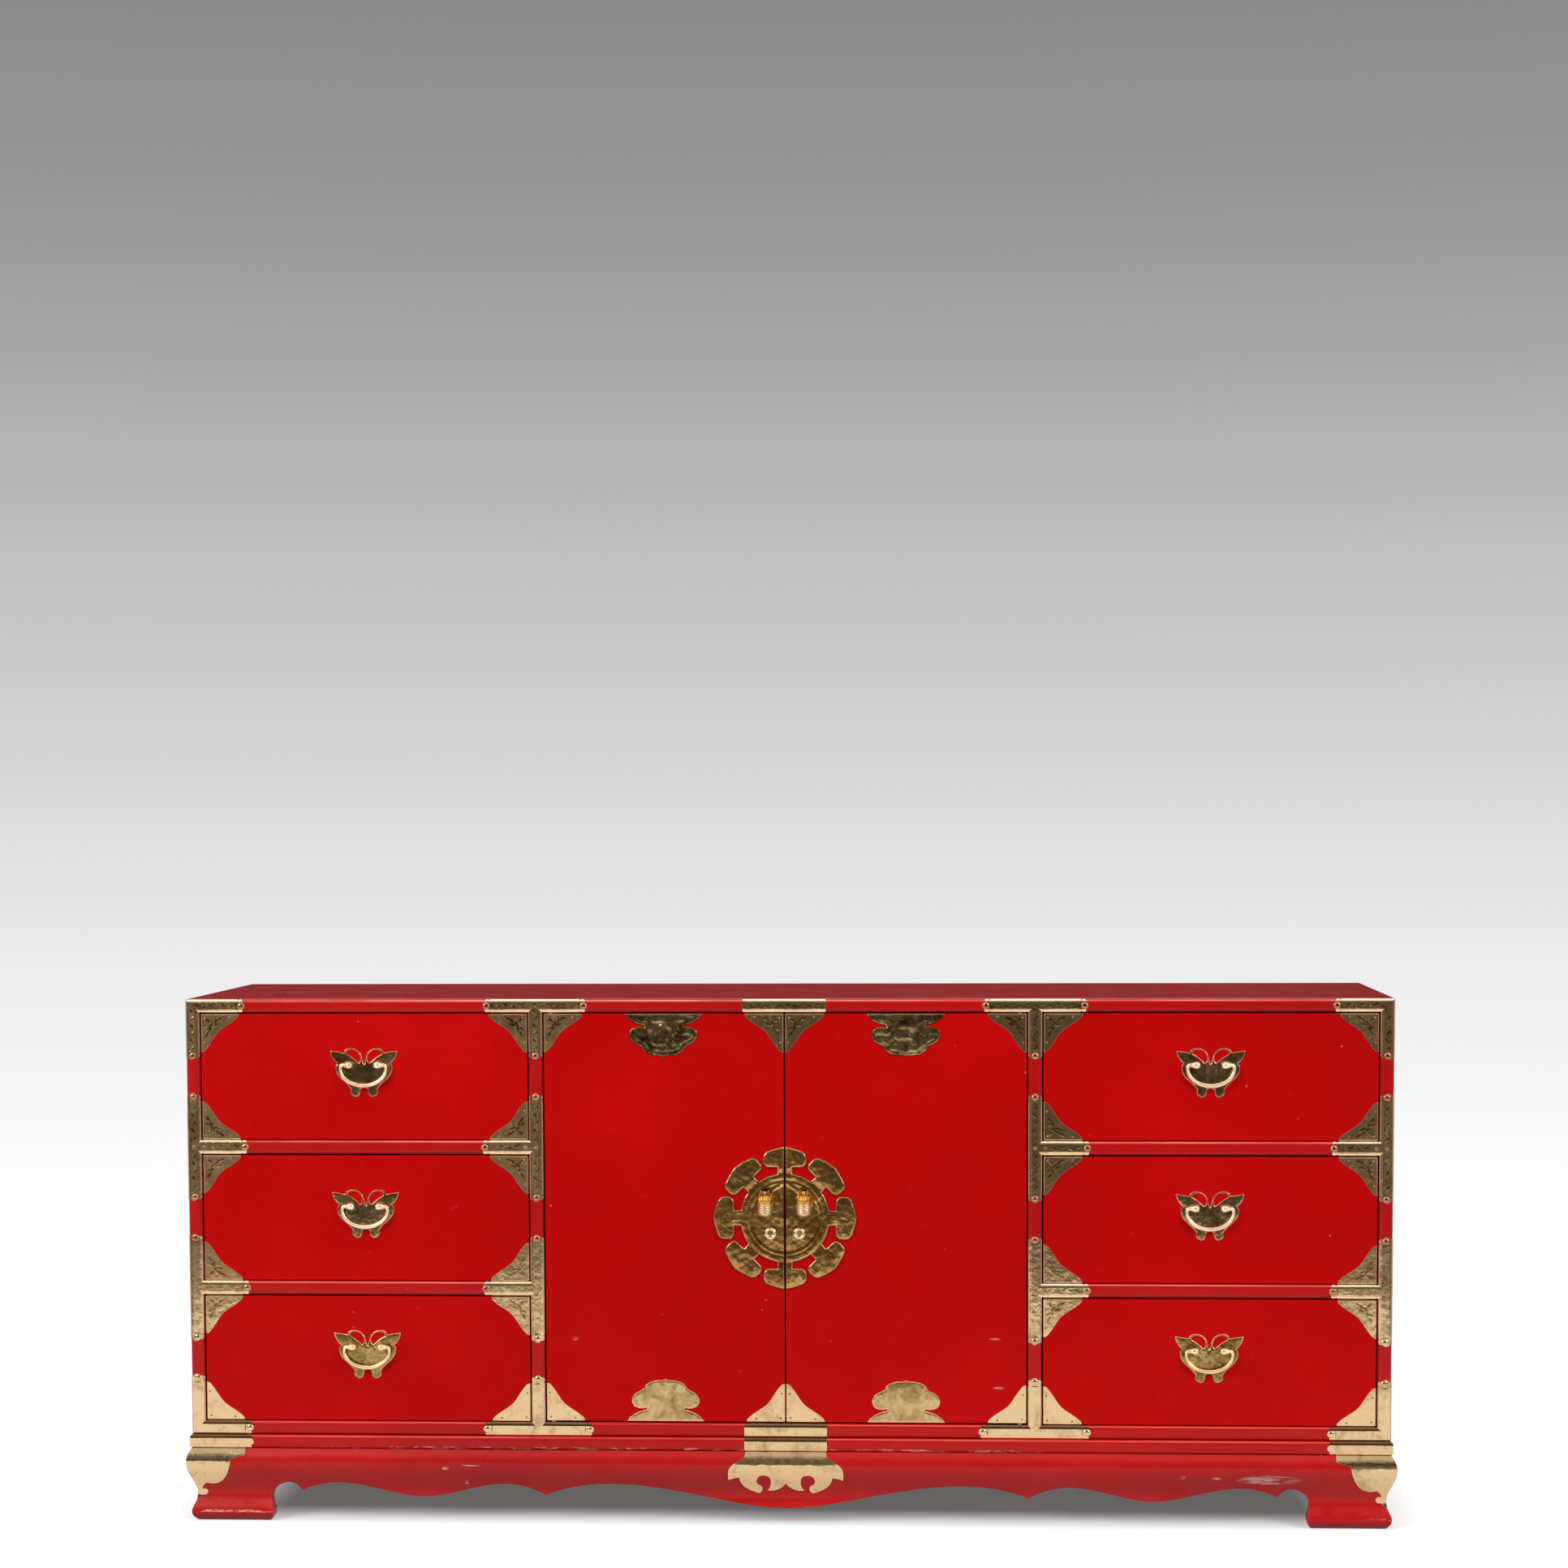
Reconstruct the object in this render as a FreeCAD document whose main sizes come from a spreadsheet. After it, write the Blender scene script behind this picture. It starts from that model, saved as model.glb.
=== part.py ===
import FreeCAD
import Part

import math
import os

import Sketcher

# A low lacquered dresser: a panelled case with a moulded face frame stands on a scalloped bracket base.
# Two banks of three drawers flank a cupboard with two doors, and every corner carries sheet brass.
# Frame: origin on the floor under the middle of the piece, +X along the width, the front faces -Y, +Z up.

DIMENSIONS = {
    # Case
    "case_width": 1830,
    "case_depth": 480,
    "base_height": 113,
    "moulding_height": 21.5,
    "rail_height": 21.5,
    "drawer_opening_height": 195,
    "drawer_opening_width": 505,
    "top_thickness": 20,
    "stile_width": 21,
    "bar_depth": 24,
    "edge_round": 6,
    "panel_thickness": 19,
    "back_thickness": 6,
    "back_rabbet": 10,
    "dado_depth": 6,
    "shelf_thickness": 19,
    "shelf_setback": 12,
    "runner_width": 30,
    # Drawer fronts and doors
    "front_thickness": 20,
    "front_edge_round": 1.5,
    "face_recess": 4,
    "reveal": 2,
    "drawer_foot_gap": 0.8,
    "door_gap": 2,
    # Drawer boxes
    "drawer_side_thickness": 12,
    "drawer_box_height": 160,
    "drawer_box_depth": 430,
    "drawer_bottom_thickness": 6,
    "drawer_bottom_raise": 10,
    "drawer_groove_depth": 5,
    "drawer_rabbet_depth": 10,
    # Clearances
    "running_gap": 0.3,
    "groove_gap": 0.1,
    "pin_gap": 0.05,
    "shank_gap": 0.1,
    "brass_bed": 0.05,
    # Base
    "moulding_projection": 2.5,
    "moulding_depth": 40,
    "apron_thickness": 24,
    "apron_bulge": 7,
    "apron_bulge_height": 83,
    "foot_neck": 6,
    "foot_neck_height": 36,
    "foot_flare": 2,
    "foot_flare_height": 15,
    "foot_toe": 7,
    "foot_length": 121,
    "foot_block_width": 45,
    "foot_block_lift": 4,
    "rear_rail_thickness": 19,
    "rear_rail_height": 70,
    # Hinges and catches
    "hinge_inset": 10,
    "hinge_setback": 5,
    "hinge_pin_diameter": 4,
    "hinge_leaf_length": 55,
    "hinge_leaf_width": 14,
    "hinge_leaf_thickness": 3,
    "hinge_leaf_margin": 4,
    "hinge_washer_diameter": 9,
    "catch_length": 40,
    "catch_width": 16,
    "catch_height": 12,
    "catch_offset": 50,
    # Frame straps
    "strap_thickness": 0.8,
    "strap_tip": 12,
    "strap_side_wrap": 20,
    "top_corner_reach": 92,
    "top_tee_reach": 80,
    "stile_strap_drop": 92,
    "rail_strap_reach": 74,
    "rail_strap_rise": 83,
    "bottom_tee_reach": 85,
    "bottom_strap_rise": 94,
    "bottom_corner_reach": 96,
    "centre_strap_width": 126,
    # Brass plates
    "plate_thickness": 0.8,
    "corner_plate_leg": 57,
    "corner_plate_tip": 3.5,
    "corner_plate_bow": 5,
    "cloud_plate_width": 117,
    "cloud_plate_height": 64,
    "foot_mount_width": 82.5,
    "apron_mount_width": 176,
    # Drawer pulls
    "pull_plate_width": 103,
    "pull_rise": 18,
    "pull_post_spacing": 52,
    "pull_post_diameter": 6,
    "pull_head_diameter": 8.8,
    "pull_shank_diameter": 4,
    "pull_nut_diameter": 9,
    "pull_nut_height": 4,
    "bail_radius": 34,
    "bail_diameter": 6.2,
    "bail_standoff": 8,
    "bail_pin_diameter": 3.6,
    # Door medallion and drop pulls
    "medallion_rise": 1,
    "medallion_radius": 109,
    "medallion_disc_radius": 68,
    "medallion_thickness": 1.5,
    "lobe_neck_width": 23,
    "lobe_head_width": 66,
    "lobe_head_start": 77,
    "lobe_corner": 9,
    "eyelet_offset": 22,
    "eyelet_drop": 23,
    "eyelet_radius": 6.6,
    "eyelet_wire": 5,
    "drop_offset": 29.5,
    "drop_pivot_rise": 40,
    "drop_standoff": 14.5,
    "drop_length": 41,
    "drop_lip_diameter": 26,
    "drop_body_diameter": 24,
    "drop_neck_diameter": 8,
    "drop_pin_diameter": 3.6,
    "drop_ear_thickness": 3,
    "drop_ear_width": 7,
}

doc = FreeCAD.newDocument("dresser")
sheet = doc.addObject("Spreadsheet::Sheet", "dims")
for row, (alias, amount) in enumerate(DIMENSIONS.items(), 1):
    sheet.set(f"A{row}", alias)
    sheet.set(f"B{row}", str(amount))
    sheet.setAlias(f"B{row}", alias)
doc.recompute()


class Size:
    """A length that carries both its value and the sheet expression behind it."""

    def __init__(self, text, value):
        self.text = text
        self.value = value

    @staticmethod
    def of(other):
        return other if isinstance(other, Size) else Size(repr(float(other)), float(other))

    def __add__(self, other):
        other = Size.of(other)
        return Size(f"({self.text} + {other.text})", self.value + other.value)

    def __sub__(self, other):
        other = Size.of(other)
        return Size(f"({self.text} - {other.text})", self.value - other.value)

    def __mul__(self, other):
        other = Size.of(other)
        return Size(f"({self.text} * {other.text})", self.value * other.value)

    def __truediv__(self, other):
        other = Size.of(other)
        return Size(f"({self.text} / {other.text})", self.value / other.value)

    def __radd__(self, other):
        return Size.of(other) + self

    def __rsub__(self, other):
        return Size.of(other) - self

    def __rmul__(self, other):
        return Size.of(other) * self

    def __neg__(self):
        return Size.of(0) - self

    def __float__(self):
        return self.value


def dim(alias):
    return Size(f"dims.{alias}", float(sheet.get(alias)))


def vec(x, y, z=0):
    return FreeCAD.Vector(float(x), float(y), float(z))


# Helpers: solids bound to the sheet


def bind(item, **properties):
    """Binds properties to sizes; two underscores in a name stand for a dot."""
    for name, size in properties.items():
        item.setExpression(name.replace("__", "."), Size.of(size).text)


def place(item, x=0, y=0, z=0):
    bind(item, Placement__Base__x=x, Placement__Base__y=y, Placement__Base__z=z)
    return item


def turn(item, axis, degrees):
    item.Placement.Rotation = FreeCAD.Rotation(axis, degrees)
    return item


def box(name, low, high):
    """A block between two corners."""
    block = doc.addObject("Part::Box", name)
    bind(block, Length=high[0] - low[0], Width=high[1] - low[1], Height=high[2] - low[2])
    return place(block, *low)


def side_box(name, side, inner, outer, y_low, y_high, z_low, z_high):
    """A block on one side of the middle plane, given by its distances from it."""
    x_low, x_high = (inner, outer) if side > 0 else (-outer, -inner)
    return box(name, (x_low, y_low, z_low), (x_high, y_high, z_high))


def rod(name, diameter, length, start, axis, degrees):
    """A round rod that starts at a point and runs along Z turned about an axis."""
    item = doc.addObject("Part::Cylinder", name)
    turn(item, axis, degrees)
    bind(item, Radius=diameter / 2, Height=length)
    return place(item, *start)


ALONG_X = (FreeCAD.Vector(0, 1, 0), 90)
ALONG_Y = (FreeCAD.Vector(1, 0, 0), -90)
ALONG_Z = (FreeCAD.Vector(0, 0, 1), 0)


def ball(name, diameter, centre):
    item = doc.addObject("Part::Sphere", name)
    bind(item, Radius=diameter / 2)
    return place(item, *centre)


def group(name, items):
    item = doc.addObject("Part::Compound", name)
    item.Links = items
    return item


def fuse(name, items):
    item = doc.addObject("Part::MultiFuse", name)
    item.Shapes = items
    return item


def cut(name, base, tools):
    item = doc.addObject("Part::Cut", name)
    item.Base = base
    item.Tool = tools[0] if len(tools) == 1 else group(f"{name}_tools", tools)
    return item


def common(name, base, tool):
    item = doc.addObject("Part::Common", name)
    item.Base = base
    item.Tool = tool
    return item


# Helpers: sketches


def polygon(body, name, role, loops):
    """Closed outlines of straight lines on one of a body's planes, each corner bound to the sheet."""
    sketch = body.newObject("Sketcher::SketchObject", name)
    plane = next(item for item in body.Origin.OriginFeatures if item.Role == role)
    sketch.AttachmentSupport = [(plane, "")]
    sketch.MapMode = "FlatFace"
    for corners in loops:
        first = sketch.GeometryCount
        count = len(corners)
        for start, end in zip(corners, corners[1:] + corners[:1]):
            sketch.addGeometry(Part.LineSegment(vec(*start), vec(*end)), False)
        for index in range(count):
            following = first + (index + 1) % count
            sketch.addConstraint(Sketcher.Constraint("Coincident", first + index, 2, following, 1))
        for index, corner in enumerate(corners, first):
            for kind, size in zip(("DistanceX", "DistanceY"), corner):
                number = sketch.addConstraint(Sketcher.Constraint(kind, -1, 1, index, 1, float(size)))
                sketch.setExpression(f"Constraints[{number}]", Size.of(size).text)
    return sketch


def prism(name, role, corners, length, reverse=False, holes=()):
    """A body padded from a straight-sided outline, with straight-sided openings through it."""
    body = doc.addObject("PartDesign::Body", name)
    pad = body.newObject("PartDesign::Pad", f"{name}_pad")
    pad.Profile = polygon(body, f"{name}_outline", role, [corners, *holes])
    pad.Reversed = reverse
    bind(pad, Length=length)
    return body


def round_edges(body, radius, chosen):
    """Rounds the edges of a body that a test picks."""
    doc.recompute()
    last = body.Tip
    names = [f"Edge{number}" for number, edge in enumerate(last.Shape.Edges, 1) if chosen(edge.BoundBox)]
    fillet = body.newObject("PartDesign::Fillet", f"{body.Name}_round")
    fillet.Base = (last, names)
    bind(fillet, Radius=radius)
    return body


def near(one, other):
    return abs(float(one) - float(other)) < 1e-6


def curve(points):
    """A line through two points, an arc through three, or a smooth curve through more."""
    points = [vec(*point) for point in points]
    if len(points) == 2:
        return Part.LineSegment(*points)
    if len(points) == 3:
        return Part.Arc(*points)
    spline = Part.BSplineCurve()
    spline.interpolate(points)
    return spline


def moved(stretches, x=0, y=0, scale_x=1, scale_y=1):
    """An outline's stretches scaled and shifted."""
    return [[(float(x) + scale_x * u, float(y) + scale_y * v) for u, v in points] for points in stretches]


def mirrored(half):
    """The whole outline of a shape whose right half is given, from its top to its bottom."""
    left = [[(-u, v) for u, v in reversed(points)] for points in reversed(half)]
    return half + left


TURN_XZ = FreeCAD.Rotation(FreeCAD.Vector(1, 0, 0), 90)
TURN_YZ = FreeCAD.Rotation(FreeCAD.Vector(1, 1, 1), 120)


def extrude(name, loops, depth, rotation=TURN_XZ, **origin):
    """Solids drawn by closed loops, seen from the front and grown to -Y or from the side to +X."""
    sketch = doc.addObject("Sketcher::SketchObject", f"{name}_sketch")
    sketch.Placement = FreeCAD.Placement(FreeCAD.Vector(), rotation)
    place(sketch, **origin)
    for loop in loops:
        sketch.addGeometry([curve(points) for points in loop], False)
    solid = doc.addObject("Part::Extrusion", name)
    solid.Base = sketch
    solid.DirMode = "Normal"
    solid.Solid = True
    bind(solid, LengthFwd=depth)
    return solid


# Levels that the pieces share

edge_round = dim("edge_round")
reveal = dim("reveal")
rail_height = dim("rail_height")
opening_height = dim("drawer_opening_height")
opening_width = dim("drawer_opening_width")
panel = dim("panel_thickness")
bed = dim("brass_bed")
running_gap = dim("running_gap")
plate_thickness = dim("plate_thickness")

half_width = dim("case_width") / 2
end_x = half_width - dim("stile_width")
bank_x = end_x - opening_width
door_x = bank_x - dim("stile_width")
inner_stile_x = (bank_x + door_x) / 2
bank_middle = (bank_x + end_x) / 2
side_inner_x = half_width - panel
partition_inner = inner_stile_x - panel / 2
partition_outer = inner_stile_x + panel / 2

base_top = dim("base_height")
case_bottom = base_top + dim("moulding_height")
opening_floor = case_bottom + rail_height
ROWS = {"bottom": 0, "middle": 1, "top": 2}
SIDES = {"left": -1, "right": 1}
row_floor = {row: opening_floor + (opening_height + rail_height) * step for row, step in ROWS.items()}
opening_top = row_floor["top"] + opening_height
case_top = opening_top + dim("top_thickness")

pull_projection = (
    dim("medallion_thickness") + dim("drop_standoff") + dim("drop_lip_diameter") / 2 - dim("face_recess")
)
front = (pull_projection - dim("case_depth")) / 2
back = front + dim("case_depth")
frame_back = front + dim("bar_depth")
face = front + dim("face_recess")
face_back = face + dim("front_thickness")
inner_back = back - dim("back_thickness")

nodes = []


def node(item):
    """Marks an object as a sub-part to be written out under its own label."""
    nodes.append(item)
    return item


# Face frame: bars with rounded front edges, mitred at the outer corners and tongued at the others


def bar(name, corners, along, levels):
    """A frame bar whose long front edges, at two levels across it, are rounded."""
    body = prism(name, "XZ_Plane", corners, dim("bar_depth"), reverse=True)

    def on_front_edge(bounds):
        if not near(bounds.YMax, 0):
            return False
        if along == "x":
            return near(bounds.ZLength, 0) and any(near(bounds.ZMin, level) for level in levels)
        return near(bounds.XLength, 0) and any(near(bounds.XMin, level) for level in levels)

    round_edges(body, edge_round, on_front_edge)
    return place(body, y=front)


def long_rail(name, outer, inner):
    """A rail across the whole front, mitred at both ends; outer and inner are its two edges."""
    corners = [(-half_width, outer), (half_width, outer), (end_x, inner), (-end_x, inner)]
    return bar(name, corners, "x", (outer, inner))


def end_stile(name, side):
    wide, narrow = side * half_width, side * end_x
    corners = [(wide, case_bottom), (wide, case_top), (narrow, opening_top), (narrow, opening_floor)]
    return bar(name, corners, "z", (wide, narrow))


def inner_stile(name, side):
    """A stile between a bank and the doors; its tongues fit mitred notches in the long rails."""
    near_x, far_x = side * door_x, side * bank_x
    slim_near, slim_far = side * (door_x + edge_round), side * (bank_x - edge_round)
    foot, head = opening_floor - edge_round, opening_top + edge_round
    corners = [
        (near_x, opening_floor),
        (slim_near, foot),
        (slim_far, foot),
        (far_x, opening_floor),
        (far_x, opening_top),
        (slim_far, head),
        (slim_near, head),
        (near_x, opening_top),
    ]
    return bar(name, corners, "z", (near_x, far_x))


def drawer_rail(name, side, top):
    """The rail under a drawer, tongued into both stiles; its top is the floor of the drawer's opening."""
    bottom = top - rail_height
    inside, outside = side * bank_x, side * end_x
    slim_in, slim_out = side * (bank_x - edge_round), side * (end_x + edge_round)
    corners = [
        (inside, bottom),
        (outside, bottom),
        (slim_out, bottom + edge_round),
        (slim_out, top - edge_round),
        (outside, top),
        (inside, top),
        (slim_in, top - edge_round),
        (slim_in, bottom + edge_round),
    ]
    return bar(name, corners, "x", (top, bottom))


def rectangle(x_low, x_high, z_low, z_high):
    return [(x_low, z_low), (x_high, z_low), (x_high, z_high), (x_low, z_high)]


def grown_frame(name, grow):
    """The whole face frame grown by a little all round, for the brass that wraps it."""
    wide = half_width + grow
    openings = [rectangle(grow - door_x, door_x - grow, opening_floor + grow, opening_top - grow)]
    for side in SIDES.values():
        inner, outer = bank_x + grow, end_x - grow
        x_low, x_high = (inner, outer) if side > 0 else (-outer, -inner)
        for floor in row_floor.values():
            openings.append(rectangle(x_low, x_high, floor + grow, floor + opening_height - grow))
    outline = rectangle(-wide, wide, case_bottom - grow, case_top + grow)
    body = prism(name, "XZ_Plane", outline, dim("bar_depth") + grow, reverse=True, holes=openings)
    round_edges(body, edge_round + grow, lambda bounds: near(bounds.YMax, 0))
    return place(body, y=front - grow)


hinge_pivot_x = door_x - reveal - dim("hinge_inset")
hinge_pivot_y = face + dim("hinge_setback")
leaf_thickness = dim("hinge_leaf_thickness")


def hinge_leaf(name, side, low, high):
    """The flat of a knife hinge, let into the end of a door or into a rail."""
    outer = door_x - reveal - reveal
    y_low = hinge_pivot_y - dim("hinge_leaf_margin")
    inner = outer - dim("hinge_leaf_length")
    return side_box(name, side, inner, outer, y_low, y_low + dim("hinge_leaf_width"), low, high)


def face_frame():
    stiles = []
    inner_stiles = []
    rails = []
    for side_name, side in SIDES.items():
        bank = [
            drawer_rail(f"{side_name}_{row}_drawer_rail", side, row_floor[row]) for row in ("middle", "top")
        ]
        rails += bank
        stiles.append(cut(f"{side_name}_end_stile", end_stile(f"{side_name}_end_stile_blank", side), bank))
        inner_blank = inner_stile(f"{side_name}_inner_stile_blank", side)
        inner_stiles.append(cut(f"{side_name}_inner_stile", inner_blank, bank))
    for level, outer, inner, leaf_low in (
        ("top", case_top, opening_top, opening_top),
        ("bottom", case_bottom, opening_floor, opening_floor - leaf_thickness),
    ):
        mortises = [
            hinge_leaf(f"{name}_{level}_mortise", side, leaf_low, leaf_low + leaf_thickness)
            for name, side in SIDES.items()
        ]
        blank = long_rail(f"{level}_rail_blank", outer, inner)
        rails.append(cut(f"{level}_rail", blank, inner_stiles + mortises))
    node(group("face_frame_stiles", stiles + inner_stiles))
    node(group("face_frame_rails", rails))


# Case: panels behind the face frame


def case_panels():
    dado = dim("dado_depth")
    fit = dim("groove_gap")
    half_fit = fit / 2
    housings = []
    for side in SIDES.values():
        for level, (low, high) in {
            "top": (opening_top - half_fit, opening_top + dado + half_fit),
            "bottom": (opening_floor - dado - half_fit, opening_floor + half_fit),
        }.items():
            name = f"housing_{level}_{side}"
            inner, outer = partition_inner - half_fit, partition_outer + half_fit
            housings.append(side_box(name, side, inner, outer, frame_back, inner_back, low, high))
    top_slab = box("top_slab", (-half_width, frame_back, opening_top), (half_width, back, case_top))
    top_grooves = [item for item in housings if "top" in item.Name]
    node(cut("top_panel", top_slab, top_grooves))
    floor_low = (-side_inner_x, frame_back, case_bottom)
    floor_slab = box("bottom_slab", floor_low, (side_inner_x, inner_back, opening_floor))
    node(cut("bottom_panel", floor_slab, [item for item in housings if "bottom" in item.Name]))

    shelf_low = (opening_floor + opening_top - dim("shelf_thickness")) / 2
    shelf_high = shelf_low + dim("shelf_thickness")
    shelf_front = frame_back + dim("shelf_setback")
    shelf_end = partition_inner + dado - half_fit
    node(box("shelf", (-shelf_end, shelf_front, shelf_low), (shelf_end, inner_back, shelf_high)))

    rabbet_x = side_inner_x + dim("back_rabbet")
    for name, side in SIDES.items():
        blank = side_box(
            f"{name}_side_blank", side, side_inner_x, half_width, frame_back, back, case_bottom, opening_top
        )
        rabbet = side_box(
            f"{name}_rabbet", side, side_inner_x, rabbet_x, inner_back, back, case_bottom, opening_top
        )
        node(cut(f"{name}_side_panel", blank, [rabbet]))
        upright = side_box(
            f"{name}_partition_blank",
            side,
            partition_inner,
            partition_outer,
            frame_back,
            inner_back,
            opening_floor - dado,
            opening_top + dado,
        )
        groove = side_box(
            f"{name}_shelf_dado",
            side,
            partition_inner,
            partition_inner + dado,
            shelf_front,
            inner_back,
            shelf_low - half_fit,
            shelf_high + half_fit,
        )
        node(cut(f"{name}_partition", upright, [groove]))
    back_x = rabbet_x - half_fit
    node(box("back_panel", (-back_x, inner_back, case_bottom), (back_x, back, opening_top)))


def drawer_runners():
    """Strips along the side panels and partitions that carry the drawers of the upper rows."""
    runners = []
    for side_name, side in SIDES.items():
        for row in ("middle", "top"):
            high = row_floor[row]
            for end, inner, outer in (
                ("inner", partition_outer, partition_outer + dim("runner_width")),
                ("outer", side_inner_x - dim("runner_width"), side_inner_x),
            ):
                name = f"{side_name}_{row}_{end}_runner"
                low = high - rail_height
                runners.append(side_box(name, side, inner, outer, frame_back, inner_back, low, high))
    node(group("drawer_runners", runners))


def door_catches():
    """Magnetic catches under the top, just behind the doors' free edges."""
    catches = []
    for name, side in SIDES.items():
        inner = dim("catch_offset") - dim("catch_length") / 2
        outer = inner + dim("catch_length")
        y_low = face_back + running_gap
        y_high = y_low + dim("catch_width")
        low = opening_top - dim("catch_height")
        catches.append(side_box(f"{name}_catch", side, inner, outer, y_low, y_high, low, opening_top))
    node(group("door_catches", catches))


# Base: a moulding frame on mitred apron boards that run down into bracket feet

moulding_front = front - dim("moulding_projection")
moulding_x = half_width + dim("moulding_projection")


def moulding_block(name, grow):
    """The full block whose front and side edges carry the base moulding's profile."""
    near_y, far_x = moulding_front - grow, moulding_x + grow
    corners = [(-far_x, near_y), (far_x, near_y), (far_x, back), (-far_x, back)]
    body = prism(name, "XY_Plane", corners, dim("moulding_height") + grow * 2)

    def on_moulded_edge(bounds):
        return near(bounds.ZLength, 0) and not near(bounds.YMin, back)

    round_edges(body, edge_round + grow, on_moulded_edge)
    return place(body, z=base_top - grow)


def base_moulding():
    depth = dim("moulding_depth")
    inner_x, inner_y = moulding_x - depth, moulding_front + depth
    blank = moulding_block("moulding_blank", Size.of(0))
    height = dim("moulding_height")
    wall = [
        (-moulding_x, moulding_front),
        (moulding_x, moulding_front),
        (inner_x, inner_y),
        (-inner_x, inner_y),
    ]
    plan = place(prism("front_plan", "XY_Plane", wall, height), z=base_top)
    pieces = [common("front_moulding", blank, plan)]
    for name, side in SIDES.items():
        outer, inner = side * moulding_x, side * inner_x
        wall = [(outer, moulding_front), (outer, back), (inner, back), (inner, inner_y)]
        plan = place(prism(f"{name}_plan", "XY_Plane", wall, height), z=base_top)
        pieces.append(common(f"{name}_moulding", blank, plan))
    rear_low = (-inner_x, back - depth, base_top)
    pieces.append(box("rear_moulding", rear_low, (inner_x, back, case_bottom)))
    node(group("base_moulding", pieces))


def apron_offsets():
    """The cyma of the apron and foot: how far each level stands outside the case, from the top down."""
    return [
        (0.0, float(base_top)),
        (float(dim("apron_bulge")), float(dim("apron_bulge_height"))),
        (-float(dim("foot_neck")), float(dim("foot_neck_height"))),
        (float(dim("foot_flare")), float(dim("foot_flare_height"))),
        (-float(dim("foot_toe")), 0.0),
    ]


def board_profile():
    """The closed section of an apron board, outwards to +u and up to +v."""
    inner = -float(dim("apron_thickness"))
    outer = apron_offsets()
    top = (inner, outer[0][1])
    foot = (inner, 0.0)
    return [outer, [outer[-1], foot], [foot, top], [top, outer[0]]]


def skin_profile():
    """The closed section of sheet brass laid over the apron's face."""
    low, high = float(bed), float(bed + dim("strap_thickness"))
    outer = [(u + high, v) for u, v in apron_offsets()]
    inner = [(u + low, v) for u, v in apron_offsets()]
    return [outer, [outer[-1], inner[-1]], inner[::-1], [inner[0], outer[0]]]


# How far a blank runs past a corner before its mitre is cut
MITRE_REACH = 30


def mitre_plan(name, side):
    """The plan of the base boards on one side, cut at 45 degrees; side 0 is the front."""
    thickness = dim("apron_thickness")
    far_x, far_y = half_width + MITRE_REACH, front - MITRE_REACH
    in_x, in_y = half_width - thickness, front + thickness
    if side == 0:
        wall = [(-far_x, far_y), (far_x, far_y), (in_x, in_y), (-in_x, in_y)]
    else:
        wall = [(side * far_x, far_y), (side * far_x, back), (side * in_x, back), (side * in_x, in_y)]
    return prism(name, "XY_Plane", wall, base_top + MITRE_REACH)


def front_run(name, profile):
    """A section run along the whole front."""
    loop = moved(profile, x=0, scale_x=-1)
    length = (half_width + MITRE_REACH) * 2
    return extrude(name, [loop], length, TURN_YZ, x=-half_width - MITRE_REACH, y=front)


def side_run(name, profile, side):
    """A section run along one side, from past the front corner to the back."""
    loop = moved(profile, scale_x=side)
    return extrude(name, [loop], dim("case_depth") + MITRE_REACH, x=side * half_width, y=back)


def foot_edge():
    """The inner edge of a foot, from its cusp down to the floor, measured from the foot's neck."""
    return [(-48.0, 47.0), (-20.0, 59.0), (0.0, 37.0), (-4.0, 17.0), (2.0, 0.0)]


# Depth of a cutting shape below the floor
BELOW_FLOOR = 10.0


def front_scallop():
    """The space under the front apron, from foot to foot: a wavy edge with four cusps."""
    span = float(half_width - dim("foot_length"))
    foot = [(span + u, v) for u, v in foot_edge()]
    outer_cusp = foot[0]
    inner_cusp = (0.465 * span, 42.0)
    wave = [inner_cusp, (0.548 * span, 60.0), (0.698 * span, 38.5), (0.869 * span, 60.5), outer_cusp]
    swell = [(0.0, 25.5), (0.17 * span, 44.0), (0.349 * span, 61.0), inner_cusp]
    left = [(-u, v) for u, v in reversed(swell)]
    middle = left[:-1] + swell
    right_leg = [foot[-1], (foot[-1][0], -BELOW_FLOOR)]
    floor = [(foot[-1][0], -BELOW_FLOOR), (-foot[-1][0], -BELOW_FLOOR)]
    left_leg = [(-foot[-1][0], -BELOW_FLOOR), (-foot[-1][0], 0.0)]
    left_foot = [(-u, v) for u, v in reversed(foot)]
    left_wave = [(-u, v) for u, v in reversed(wave)]
    return [middle, wave, foot, right_leg, floor, left_leg, left_foot, left_wave]


def side_scallop():
    """The space under a side apron: one low swell between the two feet."""
    span = float(dim("case_depth") / 2 - dim("foot_length"))
    foot = [(span + u, v) for u, v in foot_edge()]
    cusp = foot[0]
    swell = [(-cusp[0], cusp[1]), (-0.4 * span, 59.0), (0.0, 52.0), (0.4 * span, 59.0), cusp]
    right_leg = [foot[-1], (foot[-1][0], -BELOW_FLOOR)]
    floor = [(foot[-1][0], -BELOW_FLOOR), (-foot[-1][0], -BELOW_FLOOR)]
    left_leg = [(-foot[-1][0], -BELOW_FLOOR), (-foot[-1][0], 0.0)]
    left_foot = [(-u, v) for u, v in reversed(foot)]
    return [swell, foot, right_leg, floor, left_leg, left_foot]


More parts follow.
